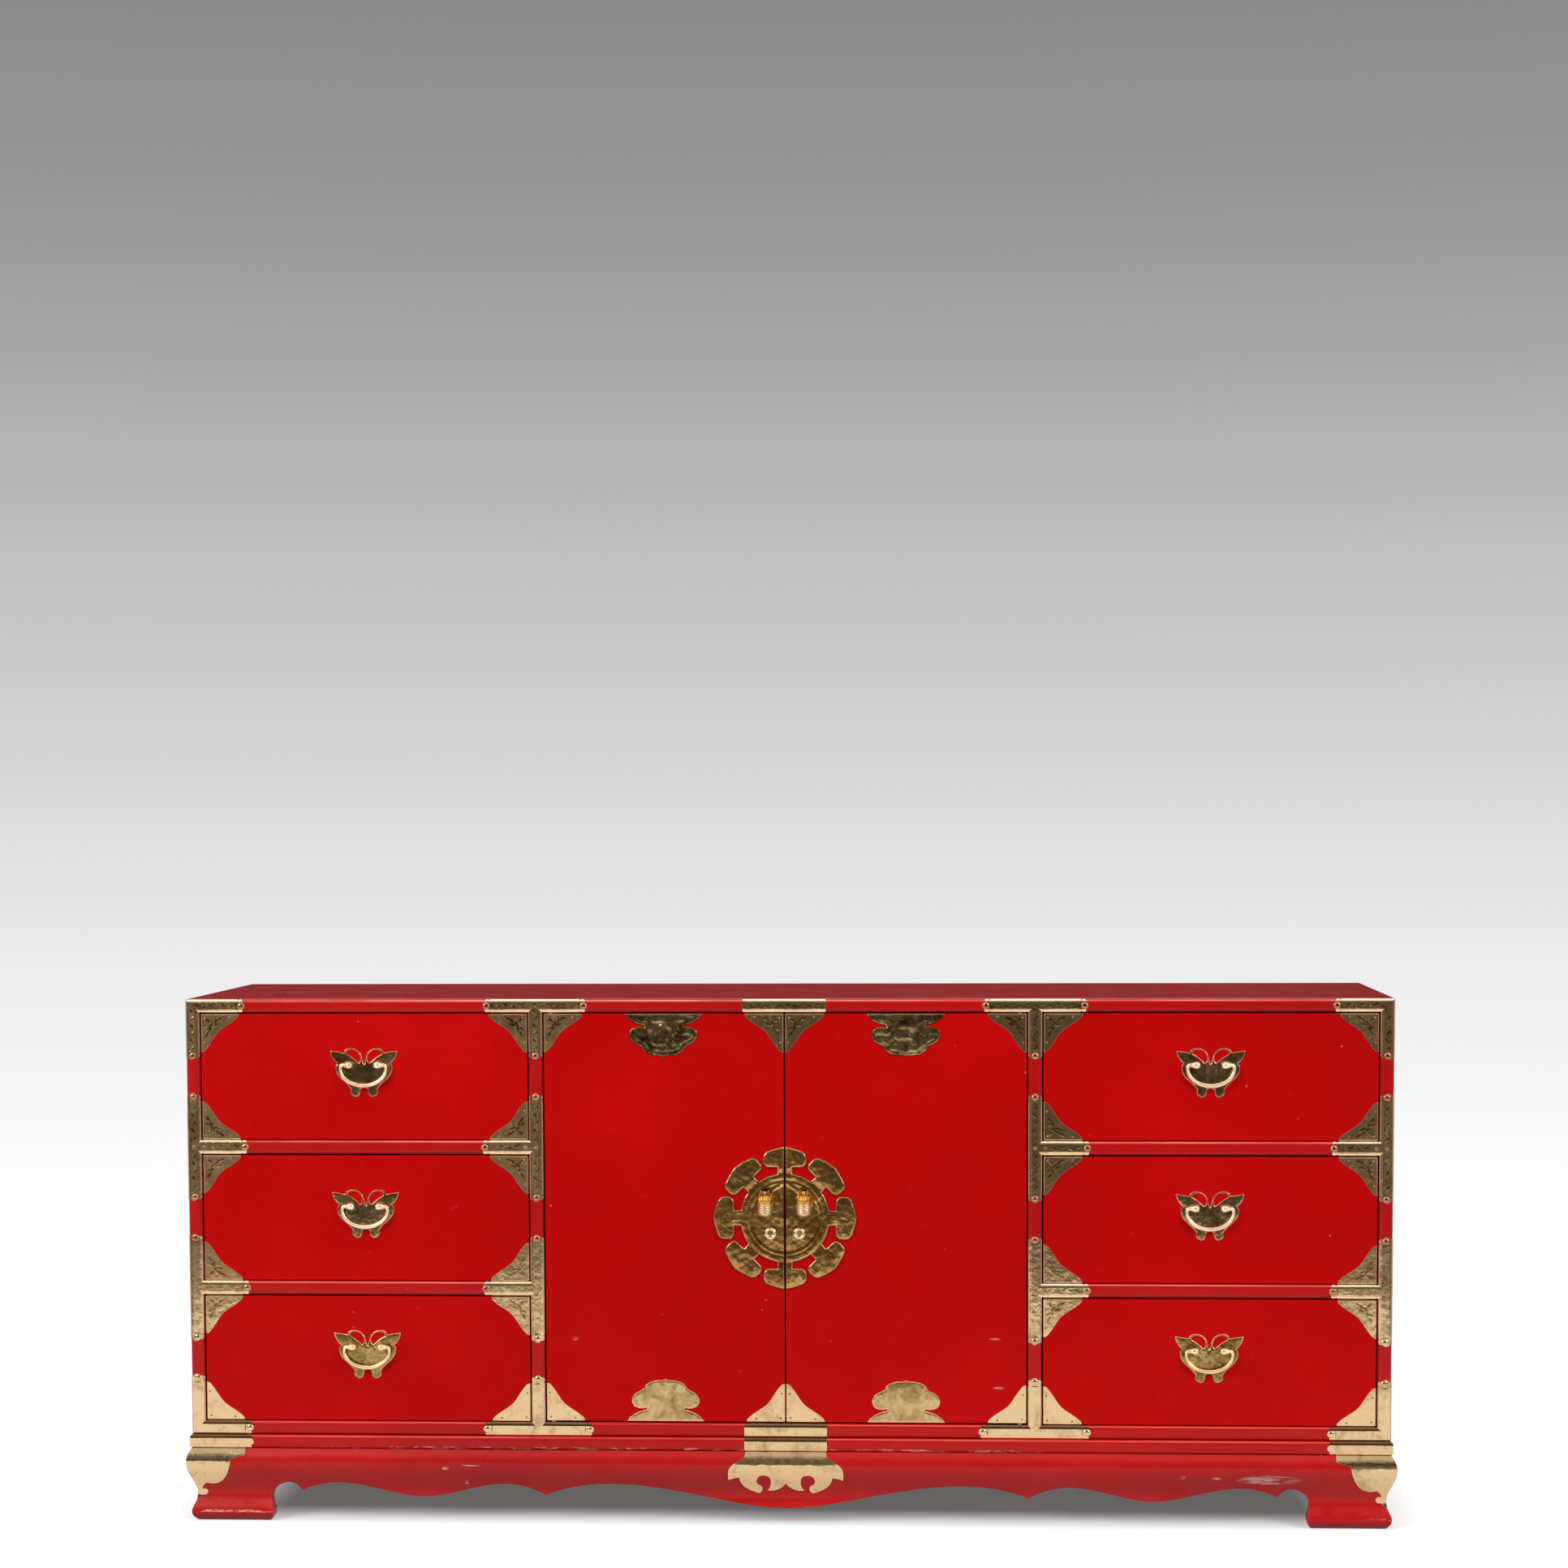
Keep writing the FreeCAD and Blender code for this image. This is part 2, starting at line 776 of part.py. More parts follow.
def base_boards():
    front_blank = front_run("front_board_run", board_profile())
    front_board = common("front_board", front_blank, mitre_plan("front_mitre", 0))
    reach = dim("apron_thickness") + MITRE_REACH * 2
    scallop = extrude("front_scallop", [front_scallop()], reach, y=frame_back + MITRE_REACH)
    node(cut("front_apron", front_board, [scallop]))
    hollow = extrude(
        "side_scallop",
        [side_scallop()],
        (half_width + MITRE_REACH) * 2,
        TURN_YZ,
        x=-half_width - MITRE_REACH,
        y=(front + back) / 2,
    )
    sides = []
    for name, side in SIDES.items():
        run = side_run(f"{name}_board_run", board_profile(), side)
        board = common(f"{name}_board", run, mitre_plan(f"{name}_mitre", side))
        sides.append(cut(f"{name}_apron", board, [hollow]))
    node(group("side_aprons", sides))

    inner_x = half_width - dim("apron_thickness")
    rear_y = back - dim("rear_rail_thickness")
    low = base_top - dim("rear_rail_height")
    node(box("rear_base_rail", (-inner_x, rear_y, low), (inner_x, back, base_top)))

    width = dim("foot_block_width")
    blocks = []
    for name, side in SIDES.items():
        for end, y_low in (("front", front + dim("apron_thickness")), ("rear", rear_y - width)):
            label = f"{name}_{end}_foot_block"
            lift = dim("foot_block_lift")
            y_high = y_low + width
            blocks.append(side_box(label, side, inner_x - width, inner_x, y_low, y_high, lift, base_top))
    node(group("foot_blocks", blocks))


# Sheet brass on the frame, the moulding and the base


def strap_end(half):
    """The cloud-shaped end of a strap, over its tip: distance past the nick, then across."""
    tip = float(dim("strap_tip"))
    return [
        [(0.0, half), (0.08 * tip, 0.74 * half)],
        [(0.08 * tip, 0.74 * half), (0.45 * tip, half), (0.68 * tip, 0.45 * half)],
        [(0.68 * tip, 0.45 * half), (tip, 0.0), (0.68 * tip, -0.45 * half)],
        [(0.68 * tip, -0.45 * half), (0.45 * tip, -half), (0.08 * tip, -0.74 * half)],
        [(0.08 * tip, -0.74 * half), (0.0, -half)],
    ]


def strap_loop(start, end, low, high, shaped_start, shaped_end, upright=False):
    """One strap's outline; start and end run along it, low and high across, and a shaped end is a cloud."""
    start, end, low, high = float(start), float(end), float(low), float(high)
    middle, half = (low + high) / 2, (high - low) / 2
    tip = float(dim("strap_tip"))
    first = start + tip if shaped_start else start
    last = end - tip if shaped_end else end
    stretches = [[(first, high), (last, high)]]
    if shaped_end:
        stretches += moved(strap_end(half), x=last, y=middle)
    else:
        stretches.append([(last, high), (last, low)])
    stretches.append([(last, low), (first, low)])
    if shaped_start:
        stretches += moved(strap_end(half), x=first, y=middle, scale_x=-1, scale_y=-1)
    else:
        stretches.append([(first, low), (first, high)])
    if upright:
        return [[(v, u) for u, v in points] for points in stretches]
    return stretches


# How far a strap's cutting outline stands past the frame's outer edges
STRAP_MARGIN = 3
# A strap folds round a rounded edge to just short of its end
strap_wrap = edge_round * 0.9


def frame_straps():
    level = {"top": (opening_top, case_top), "bottom": (case_bottom, opening_floor)}
    half_centre = dim("centre_strap_width") / 2
    flat = [strap_loop(-half_centre, half_centre, *level[row], False, False) for row in level]
    upright = []
    wraps = []
    for name, side in SIDES.items():

        def across(inner, outer, low, high, inner_shaped, outer_shaped):
            ends = (inner, outer, low, high, inner_shaped, outer_shaped)
            if side < 0:
                ends = (-outer, -inner, low, high, outer_shaped, inner_shaped)
            flat.append(strap_loop(*ends))

        def rising(low, high, inner, outer, low_shaped, high_shaped):
            inner, outer = (inner, outer) if side > 0 else (-outer, -inner)
            upright.append(strap_loop(low, high, inner, outer, low_shaped, high_shaped, upright=True))

        def end_rising(label, low, high, low_shaped, high_shaped):
            rising(low, high, end_x, half_width + STRAP_MARGIN, low_shaped, high_shaped)
            tip = dim("strap_tip")
            foot = low + tip if low_shaped else low
            head = high - tip if high_shaped else high
            rear = front + dim("strap_side_wrap")
            inside, outside = half_width - STRAP_MARGIN, half_width + STRAP_MARGIN * 2
            start = front + strap_wrap / 2
            wraps.append(side_box(f"{name}_{label}_wrap", side, inside, outside, start, rear, foot, head))

        past_end = half_width + STRAP_MARGIN
        across(half_width - dim("top_corner_reach"), past_end, *level["top"], True, False)
        reach = dim("top_tee_reach")
        across(inner_stile_x - reach, inner_stile_x + reach, *level["top"], True, True)
        across(half_width - dim("bottom_corner_reach"), past_end, *level["bottom"], True, False)
        reach = dim("bottom_tee_reach")
        across(inner_stile_x - reach, inner_stile_x + reach, *level["bottom"], True, True)
        low = case_top - dim("stile_strap_drop")
        rising(low, case_top, door_x, bank_x, True, False)
        end_rising("top", low, case_top, True, False)
        high = case_bottom + dim("bottom_strap_rise")
        rising(case_bottom, high, door_x, bank_x, False, True)
        end_rising("bottom", case_bottom, high, False, True)
        for row in ("middle", "top"):
            rail_top = row_floor[row]
            rail_bottom = rail_top - rail_height
            centre = rail_top - rail_height / 2
            rise = dim("rail_strap_rise")
            rising(centre - rise, centre + rise, door_x, bank_x, True, True)
            end_rising(row, centre - rise, centre + rise, True, True)
            reach = dim("rail_strap_reach")
            across(inner_stile_x, bank_x + reach, rail_bottom, rail_top, False, True)
            across(end_x - reach, end_x + edge_round, rail_bottom, rail_top, True, False)

    depth = strap_wrap + STRAP_MARGIN
    outlines = [
        extrude("flat_straps", flat, depth, y=front + strap_wrap),
        extrude("upright_straps", upright, depth, y=front + strap_wrap),
    ]
    outer = grown_frame("strap_outside", bed + dim("strap_thickness"))
    skin = cut("frame_skin", outer, [grown_frame("strap_inside", bed)])
    node(common("frame_straps", skin, fuse("strap_outlines", outlines + wraps)))


def foot_mount_outline():
    """The foot mount seen from the front: distance in from the case's side, and height."""
    wide = float(dim("foot_mount_width"))
    top = float(base_top - running_gap)
    outside = -float(MITRE_REACH) / 2
    return [
        [(outside, top), (wide, top)],
        [(wide, top), (wide, 103.5)],
        [(wide, 103.5), (wide - 22.0, 97.5)],
        [(wide - 22.0, 97.5), (wide - 26.5, 78.0), (wide - 37.0, 62.5), (wide - 61.0, 58.4)],
        [(wide - 61.0, 58.4), (wide - 67.0, 54.0), (wide - 69.0, 47.5)],
        [(wide - 69.0, 47.5), (wide - 61.0, 46.0), (wide - 67.5, 39.5)],
        [(wide - 67.5, 39.5), (wide - 75.0, 33.5)],
        [(wide - 75.0, 33.5), (outside, 33.5)],
        [(outside, 33.5), (outside, top)],
    ]


def apron_mount_outline():
    """The right half of the mount under the middle of the case, downwards from its top edge."""
    return [
        [(0.0, 0.0), (61.3, 0.0)],
        [(61.3, 0.0), (62.8, -6.8)],
        [(62.8, -6.8), (76.3, -15.8), (86.1, -24.8), (88.0, -34.0), (87.6, -43.6)],
        [(87.6, -43.6), (79.3, -40.6), (71.0, -39.1)],
        [(71.0, -39.1), (69.5, -45.9), (64.3, -53.4), (52.2, -61.0), (41.7, -64.7)],
        [(41.7, -64.7), (36.0, -58.5), (38.7, -51.9)],
        [
            (38.7, -51.9),
            (44.5, -46.0),
            (40.2, -36.9),
            (32.7, -35.4),
            (25.1, -38.4),
            (22.9, -44.0),
            (28.1, -60.2),
        ],
        [(28.1, -60.2), (15.0, -59.5), (0.0, -48.9)],
    ]


def base_mounts():
    skin = cut(
        "moulding_skin",
        moulding_block("moulding_outside", bed + dim("strap_thickness")),
        [moulding_block("moulding_inside", bed)],
    )
    half_centre = dim("centre_strap_width") / 2
    loops = [strap_loop(-half_centre, half_centre, base_top, case_bottom, False, False)]
    wraps = []
    for name, side in SIDES.items():
        inner, outer = half_width - dim("bottom_corner_reach"), moulding_x + STRAP_MARGIN
        ends = (inner, outer, base_top, case_bottom, True, False)
        if side < 0:
            ends = (-outer, -inner, base_top, case_bottom, False, True)
        loops.append(strap_loop(*ends))
        rear = front + dim("strap_side_wrap")
        wrap_in, wrap_out = moulding_x - strap_wrap, outer + STRAP_MARGIN
        start = moulding_front + strap_wrap / 2
        wraps.append(
            side_box(f"{name}_moulding_wrap", side, wrap_in, wrap_out, start, rear, base_top, case_bottom)
        )
    fold = moulding_front + strap_wrap
    outline = extrude("moulding_straps_outline", loops, strap_wrap + STRAP_MARGIN, y=fold)
    moulding_straps = common("moulding_straps", skin, fuse("moulding_strap_outlines", [outline] + wraps))

    front_skin = front_run("front_skin", skin_profile())
    mounts = [moulding_straps]
    depth = MITRE_REACH * 3
    for name, side in SIDES.items():
        front_leaf = common(
            f"{name}_foot_front_skin",
            common(f"{name}_foot_front_mitre", front_skin, mitre_plan(f"{name}_front_leaf_plan", 0)),
            extrude(
                f"{name}_foot_front_outline",
                [moved(foot_mount_outline(), x=side * half_width, scale_x=-side)],
                depth,
                y=front + MITRE_REACH,
            ),
        )
        side_leaf = common(
            f"{name}_foot_side_skin",
            common(
                f"{name}_foot_side_mitre",
                side_run(f"{name}_side_skin", skin_profile(), side),
                mitre_plan(f"{name}_side_leaf_plan", side),
            ),
            extrude(
                f"{name}_foot_side_outline",
                [moved(foot_mount_outline())],
                half_width * 2 + depth,
                TURN_YZ,
                x=-half_width - MITRE_REACH,
                y=front,
            ),
        )
        mounts.append(fuse(f"{name}_foot_mount", [front_leaf, side_leaf]))
    spread = float(dim("apron_mount_width")) / 176
    mounts.append(
        common(
            "apron_mount",
            front_skin,
            extrude(
                "apron_mount_outline",
                [moved(mirrored(apron_mount_outline()), y=float(base_top - running_gap), scale_x=spread)],
                depth,
                y=front + MITRE_REACH,
            ),
        )
    )
    node(group("base_mounts", mounts))


def corner_plate(x, z, toward_x, toward_z):
    """A triangular plate with its square corner at a point and its long edge bowed in."""
    leg, tip = float(dim("corner_plate_leg")), float(dim("corner_plate_tip"))
    bow = float(dim("corner_plate_bow")) / math.sqrt(2)
    middle = leg / 2 + tip / 4 - bow
    quarter = (leg * 0.75 + 0.6 * tip - bow * 0.55, leg * 0.25 + 0.4 * tip - bow * 0.55)
    stretches = [
        [(0.0, 0.0), (leg, 0.0)],
        [(leg, 0.0), (leg - tip / 3, tip)],
        [(leg - tip / 3, tip), quarter, (middle, middle), quarter[::-1], (tip, leg - tip / 3)],
        [(tip, leg - tip / 3), (0.0, leg)],
        [(0.0, leg), (0.0, 0.0)],
    ]
    return moved(stretches, x=x, y=z, scale_x=toward_x, scale_y=toward_z)


def corner_plates(x_low, x_high, z_low, z_high):
    """The four plates at the corners of a drawer front or door."""
    inset = dim("front_edge_round")
    return [
        corner_plate(x, z, toward_x, toward_z)
        for x, toward_x in ((x_low + inset, 1), (x_high - inset, -1))
        for z, toward_z in ((z_low + inset, 1), (z_high - inset, -1))
    ]


def cloud_half():
    """The right half of a cloud plate, from its peak down to its straight base, as drawn on the plate."""
    return [
        [(0.0, 64.6), (4.8, 62.4)],
        [(4.8, 62.4), (15.3, 62.0), (24.0, 59.4), (29.2, 55.9), (31.9, 50.6)],
        [
            (31.9, 50.6),
            (37.1, 47.1),
            (45.0, 42.8),
            (50.2, 36.7),
            (51.5, 29.7),
            (49.3, 23.6),
            (44.1, 20.1),
            (29.2, 20.0),
        ],
        [(29.2, 20.0), (29.2, 16.5)],
        [(29.2, 16.5), (45.0, 11.8), (58.5, 0.0)],
        [(58.5, 0.0), (0.0, 0.0)],
    ]


CLOUD_DRAWN_WIDTH = 117.0
CLOUD_DRAWN_HEIGHT = 64.6


def cloud_plate(x, z, toward_z):
    spread = float(dim("cloud_plate_width")) / CLOUD_DRAWN_WIDTH
    rise = toward_z * float(dim("cloud_plate_height")) / CLOUD_DRAWN_HEIGHT
    return moved(mirrored(cloud_half()), x=x, y=z, scale_x=spread, scale_y=rise)


# Drawers


def fronted_panel(name, x_low, x_high, z_low, z_high):
    """A board with softened front edges, as drawer fronts and doors have."""
    outline = rectangle(x_low, x_high, z_low, z_high)
    body = prism(name, "XZ_Plane", outline, dim("front_thickness"), reverse=True)
    round_edges(body, dim("front_edge_round"), lambda bounds: near(bounds.YMax, 0))
    return place(body, y=face)


def butterfly_half():
    """The right half of a pull plate, over antenna, wings and tail, about the line of its posts."""
    return [
        [(0.0, 1.0), (2.3, 8.8), (4.8, 16.3), (11.5, 23.0), (19.9, 25.0), (28.2, 23.0), (30.7, 18.0)],
        [(30.7, 18.0), (51.5, 21.3)],
        [(51.5, 21.3), (47.6, 9.0), (40.7, 1.3)],
        [(40.7, 1.3), (43.3, -1.3)],
        [(43.3, -1.3), (42.4, -12.1), (39.1, -18.0), (30.7, -26.3), (23.2, -33.8), (19.9, -38.8)],
        [(19.9, -38.8), (20.7, -43.8), (16.5, -48.4), (9.9, -48.8), (7.3, -45.5), (5.7, -38.0)],
        [(5.7, -38.0), (0.0, -35.5)],
    ]


def antenna_opening():
    """The opening between the right antenna and the wing."""
    return [
        [(8.5, 2.5), (5.6, 11.0), (9.5, 18.6), (18.5, 22.4), (25.5, 20.6), (27.4, 16.4)],
        [(27.4, 16.4), (19.0, 11.5), (8.5, 2.5)],
    ]


BUTTERFLY_DRAWN_WIDTH = 103.0


def drawer(side_name, side, row):
    name = f"{side_name}_{row}_drawer"
    floor = row_floor[row]
    middle = side * bank_middle
    half_front = opening_width / 2 - reveal
    x_low, x_high = middle - half_front, middle + half_front
    z_low, z_high = floor + dim("drawer_foot_gap"), floor + opening_height - reveal
    side_wall = dim("drawer_side_thickness")
    fit = dim("groove_gap") / 2

    box_low = floor + running_gap
    box_high = box_low + dim("drawer_box_height")
    box_front = face_back - dim("drawer_rabbet_depth")
    box_back = face_back + dim("drawer_box_depth")
    bottom_low = box_low + dim("drawer_bottom_raise")
    bottom_high = bottom_low + dim("drawer_bottom_thickness")
    groove = dim("drawer_groove_depth")
    inner_low, inner_high = x_low + side_wall, x_high - side_wall

    bottom_slot = box(
        f"{name}_bottom_slot",
        (inner_low - groove, face_back - groove, bottom_low - fit),
        (inner_high + groove, box_back, bottom_high + fit),
    )
    rabbets = [
        box(f"{name}_rabbet_{end}", (low, box_front, z_low), (high, face_back, box_high))
        for end, low, high in (("low", x_low, inner_low), ("high", inner_high, x_high))
    ]

    # Pull: plate on the face, two bored posts through the front with nuts behind, and the bail
    post_z = floor + opening_height / 2 + dim("pull_rise")
    plate_face = face - plate_thickness
    axis_y = plate_face - dim("bail_standoff")
    nut_back = face_back + dim("pull_nut_height")
    half_spacing = dim("pull_post_spacing") / 2
    shank = dim("pull_shank_diameter")
    hole = shank + dim("shank_gap") * 2
    holes = [
        rod(
            f"{name}_post_hole_{end}",
            hole,
            face_back - plate_face,
            (middle + end * half_spacing, plate_face, post_z),
            *ALONG_Y,
        )
        for end in (-1, 1)
    ]
    blank = fronted_panel(f"{name}_front_blank", x_low, x_high, z_low, z_high)
    node(cut(f"{name}_front", blank, rabbets + [bottom_slot] + holes))

    walls = [
        cut(
            f"{name}_side_{end}",
            box(f"{name}_side_blank_{end}", (low, box_front, box_low), (high, box_back, box_high)),
            [bottom_slot],
        )
        for end, low, high in (("low", x_low, inner_low), ("high", inner_high, x_high))
    ]
    rear = box(
        f"{name}_back",
        (inner_low, box_back - side_wall, bottom_high),
        (inner_high, box_back, box_high),
    )
    bottom = box(
        f"{name}_bottom",
        (inner_low - groove + fit, face_back - groove + fit, bottom_low),
        (inner_high + groove - fit, box_back, bottom_high),
    )
    node(group(f"{name}_box", walls + [rear, bottom]))
    corners = corner_plates(x_low, x_high, z_low, z_high)
    node(extrude(f"{name}_corner_plates", corners, plate_thickness, y=face))

    spread = float(dim("pull_plate_width")) / BUTTERFLY_DRAWN_WIDTH
    loops = [mirrored(butterfly_half()), antenna_opening()]
    loops.append([[(-u, v) for u, v in reversed(points)] for points in reversed(antenna_opening())])
    drawn = [moved(loop, x=middle, y=post_z, scale_x=spread, scale_y=spread) for loop in loops]
    plate = extrude(f"{name}_plate_blank", drawn, plate_thickness, y=face)
    pieces = [cut(f"{name}_plate", plate, holes)]
    bail_pin = dim("bail_pin_diameter")
    bore = bail_pin + dim("pin_gap") * 2
    head = dim("pull_head_diameter")
    tip_diameter = bail_pin + (head - bail_pin) / 3
    bail_parts = []
    for end in (-1, 1):
        post_x = middle + end * half_spacing
        collar_start = (post_x, axis_y, post_z)
        shank_start = (post_x, plate_face, post_z)
        bore_start = (post_x - head / 2, axis_y, post_z)
        nut_start = (post_x, face_back, post_z)
        collar = dim("pull_post_diameter")
        nut_height = dim("pull_nut_height")
        solid_post = fuse(
            f"{name}_post_blank_{end}",
            [
                rod(f"{name}_collar_{end}", collar, plate_face - axis_y, collar_start, *ALONG_Y),
                rod(f"{name}_shank_{end}", shank, nut_back - plate_face, shank_start, *ALONG_Y),
                ball(f"{name}_head_{end}", head, collar_start),
            ],
        )
        post_bore = rod(f"{name}_bore_{end}", bore, head, bore_start, *ALONG_X)
        pieces.append(cut(f"{name}_post_{end}", solid_post, [post_bore]))
        nut = rod(f"{name}_nut_blank_{end}", dim("pull_nut_diameter"), nut_height, nut_start, *ALONG_Y)
        thread = rod(f"{name}_thread_{end}", shank, nut_height, nut_start, *ALONG_Y)
        pieces.append(cut(f"{name}_nut_{end}", nut, [thread]))

        shoulder_x = middle + end * dim("bail_radius")
        tip_x = post_x - end * (head / 2 + running_gap + tip_diameter / 2)
        pin_low, pin_high = (tip_x, shoulder_x) if end > 0 else (shoulder_x, tip_x)
        pin_start = (pin_low, axis_y, post_z)
        bail_parts += [
            rod(f"{name}_bail_pin_{end}", bail_pin, pin_high - pin_low, pin_start, *ALONG_X),
            ball(f"{name}_bail_shoulder_{end}", dim("bail_diameter"), (shoulder_x, axis_y, post_z)),
            ball(f"{name}_bail_tip_{end}", tip_diameter, (tip_x, axis_y, post_z)),
        ]
    node(group(f"{name}_pull", pieces))
    hoop = doc.addObject("Part::Torus", f"{name}_hoop")
    hoop.Angle3 = 180
    turn(hoop, FreeCAD.Vector(1, 0, 0), -90)
    bind(hoop, Radius1=dim("bail_radius"), Radius2=dim("bail_diameter") / 2)
    place(hoop, middle, axis_y, post_z)
    node(fuse(f"{name}_bail", [hoop] + bail_parts))


# Doors

medallion_z = (opening_floor + opening_top) / 2 + dim("medallion_rise")
medallion_face = face - dim("medallion_thickness")


def medallion_outline():
    """A disc ringed by eight mushroom-headed lobes."""
    disc = float(dim("medallion_disc_radius"))
    outer = float(dim("medallion_radius"))
    neck = float(dim("lobe_neck_width")) / 2
    head = float(dim("lobe_head_width")) / 2
    start = float(dim("lobe_head_start"))
    corner = float(dim("lobe_corner"))
    count = 8
    step = 2 * math.pi / count
    shoulder = outer - 0.8 * corner
    half = [
        [(start, neck), (start, head - corner)],
        [(start, head - corner), (start + 0.3 * corner, head - 0.3 * corner), (start + corner, head)],
        [(start + corner, head), (shoulder - corner, head)],
        [
            (shoulder - corner, head),
            (shoulder - 0.2 * corner, head - 0.4 * corner),
            (shoulder + 0.1 * corner, head - corner),
        ],
        [(shoulder + 0.1 * corner, head - corner), (outer - 0.25 * corner, 0.35 * head), (outer, 0.0)],
    ]
    neck_foot = math.sqrt(disc * disc - neck * neck)
    lobe = [[(neck_foot, -neck), (start, -neck)]]
    lobe += [[(u, -v) for u, v in points] for points in half]
    lobe += [points[::-1] for points in reversed(half)]
    lobe.append([(start, neck), (neck_foot, neck)])
    loop = []
    neck_angle = math.asin(neck / disc)
    for number in range(count):
        angle = number * step
        cosine, sine = math.cos(angle), math.sin(angle)
        loop += [[(u * cosine - v * sine, u * sine + v * cosine) for u, v in points] for points in lobe]
        arc = [angle + neck_angle, angle + step / 2, angle + step - neck_angle]
        loop.append([(disc * math.cos(turned), disc * math.sin(turned)) for turned in arc])
    return moved(loop, y=medallion_z)


def drop_profile():
    """Half the section of a bell-shaped drop, from its neck to its lip, about the pivot."""
    neck = float(dim("drop_neck_diameter")) / 2
    waist = float(dim("drop_body_diameter")) / 2
    lip = float(dim("drop_lip_diameter")) / 2
    low = neck - float(dim("drop_length"))
    shoulder = (neck, -neck - 0.9)
    return [
        [(0.0, low), (lip - 1.5, low)],
        [(lip - 1.5, low), (lip, low + 1.6), (lip - 1.2, low + 3.4)],
        [(lip - 1.2, low + 3.4), (waist, low + 5.5)],
        [
            (waist, low + 5.5),
            (waist + 0.4, low + 13.0),
            (waist - 0.4, low + 23.0),
            (0.74 * waist, -neck - 5.4),
            (neck + 1.0, -neck - 2.2),
            shoulder,
        ],
        [shoulder, (neck, neck)],
        [(neck, neck), (0.0, neck)],
        [(0.0, neck), (0.0, low)],
    ]


